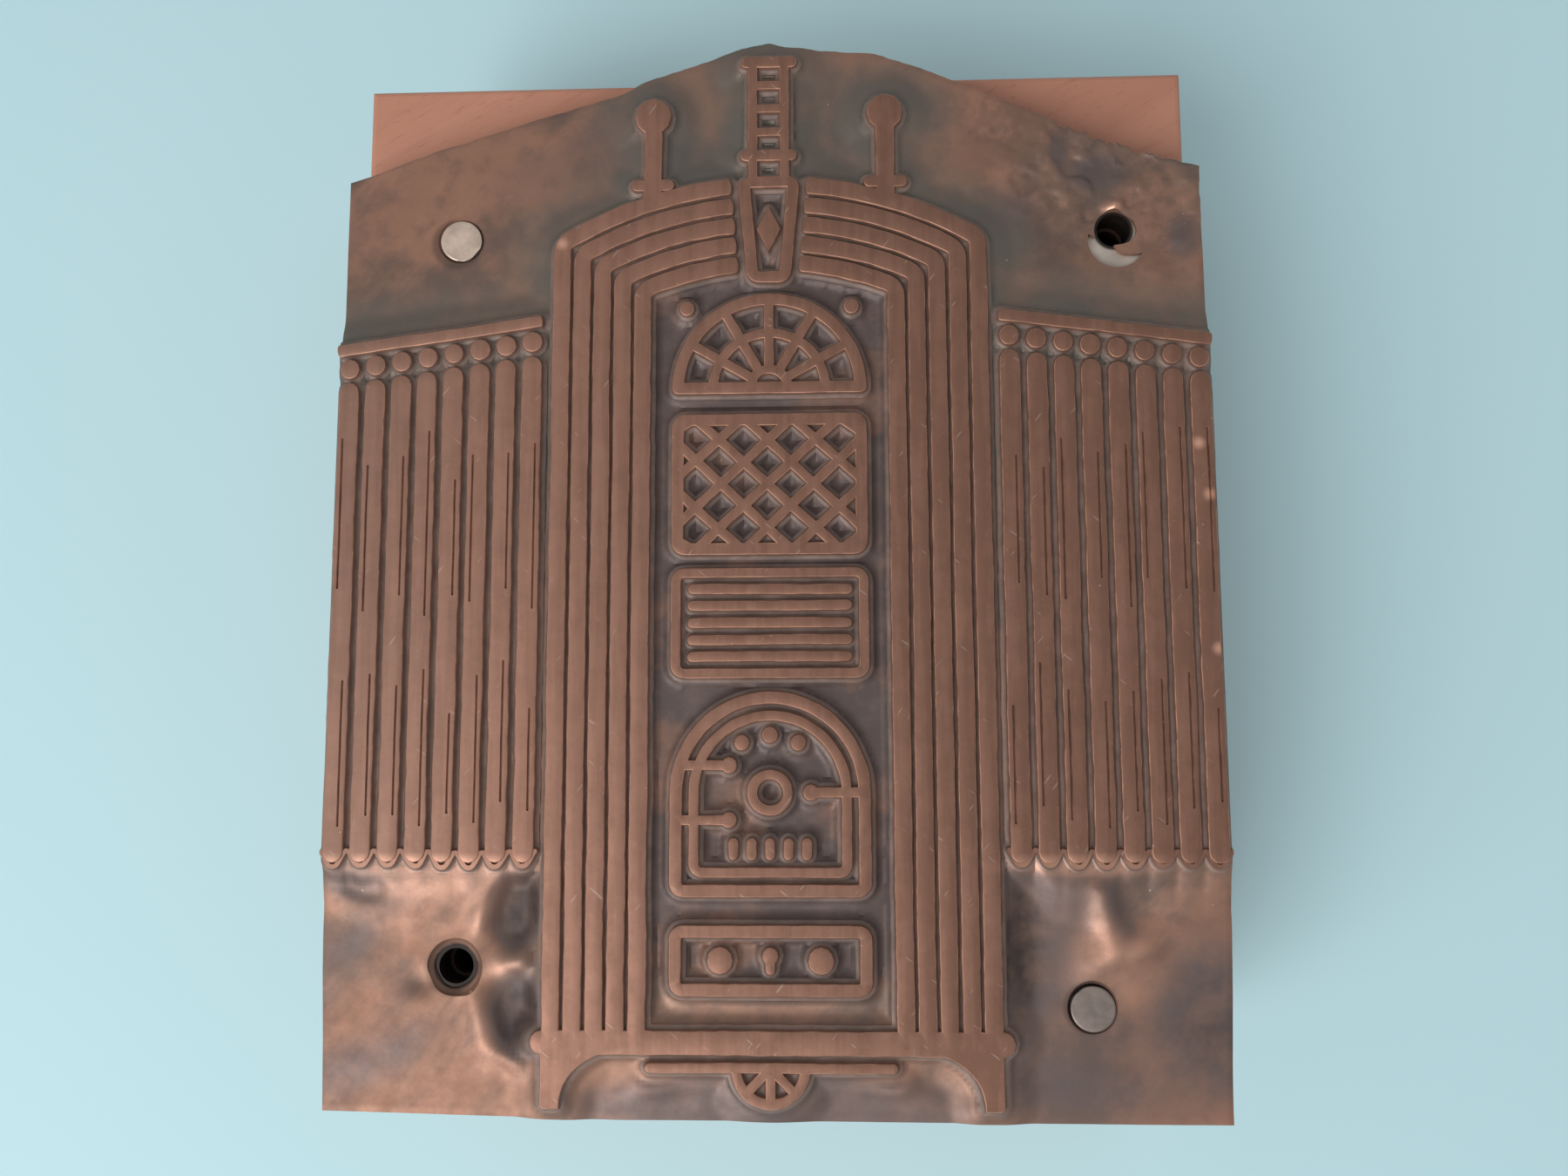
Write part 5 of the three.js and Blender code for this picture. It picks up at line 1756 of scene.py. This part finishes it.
def make_floor(scene):
    """A wide level floor under the block."""
    mesh = bpy.data.meshes.new("floor")
    h = FLOOR_HALF
    mesh.from_pydata([(-h, -h, 0), (h, -h, 0), (h, h, 0), (-h, h, 0)], [], [(0, 1, 2, 3)])
    floor = bpy.data.objects.new("floor", mesh)
    t = NodeTree("pale floor")
    t.shade(Base_Color=rgba(scene.block_colours.floor), Roughness=0.9)
    mesh.materials.append(t.material)
    scene.collection.objects.link(floor)


def make_sky(scene):
    """An even pale sky, which lights the block from all round."""
    world = bpy.data.worlds.new("studio")
    world.use_nodes = True
    light = world.node_tree.nodes["Background"]
    light.inputs["Color"].default_value = rgba(scene.block_colours.sky)
    light.inputs["Strength"].default_value = SKY_STRENGTH
    scene.world = world


def make_lamp(scene):
    """A soft lamp beyond the foot's left corner, which points at the block."""
    data = bpy.data.lights.new("window", "AREA")
    data.size = LAMP_SIZE
    data.energy = LAMP_POWER
    lamp = bpy.data.objects.new("window", data)
    tilt, turn = math.radians(90 - LAMP_ELEVATION_DEG), math.radians(LAMP_DIRECTION_DEG)
    reach = LAMP_DISTANCE * math.sin(tilt)
    lamp.location = (reach * math.cos(turn), reach * math.sin(turn), LAMP_DISTANCE * math.cos(tilt))
    lamp.rotation_euler = Euler((tilt, 0, turn + math.pi / 2))
    scene.collection.objects.link(lamp)


class BLOCK_PT_panel(bpy.types.Panel):
    """Lists the pieces, sizes and colours in the 3D view's sidebar"""

    bl_idname = "BLOCK_PT_panel"
    bl_label = "Printing Block"
    bl_space_type = "VIEW_3D"
    bl_region_type = "UI"
    bl_category = "Printing Block"

    def draw(self, context):
        """A button for each operator, then the sizes and the colours."""
        for operator in OPERATORS:
            self.layout.operator(operator.bl_idname)
        for group in (context.scene.block_sizes, context.scene.block_colours):
            for name in group.__annotations__:
                self.layout.prop(group, name)


OPERATORS = (
    BLOCK_OT_wood,
    BLOCK_OT_backing,
    BLOCK_OT_copper_face,
    BLOCK_OT_nails,
    BLOCK_OT_stage,
)
CLASSES = (BlockSizes, BlockColours, *OPERATORS, BLOCK_PT_panel)


def register():
    """Makes the settings, the operators and the panel known."""
    for cls in CLASSES:
        bpy.utils.register_class(cls)
    bpy.types.Scene.block_sizes = PointerProperty(type=BlockSizes)
    bpy.types.Scene.block_colours = PointerProperty(type=BlockColours)


def unregister():
    """Takes them out again, in the opposite order."""
    del bpy.types.Scene.block_colours
    del bpy.types.Scene.block_sizes
    for cls in reversed(CLASSES):
        bpy.utils.unregister_class(cls)


def main():
    """Makes every piece and the stage."""
    register()
    bpy.ops.block.wood()
    bpy.ops.block.backing()
    bpy.ops.block.copper_face()
    bpy.ops.block.nails()
    bpy.ops.block.stage()


if __name__ == "__main__":
    main()
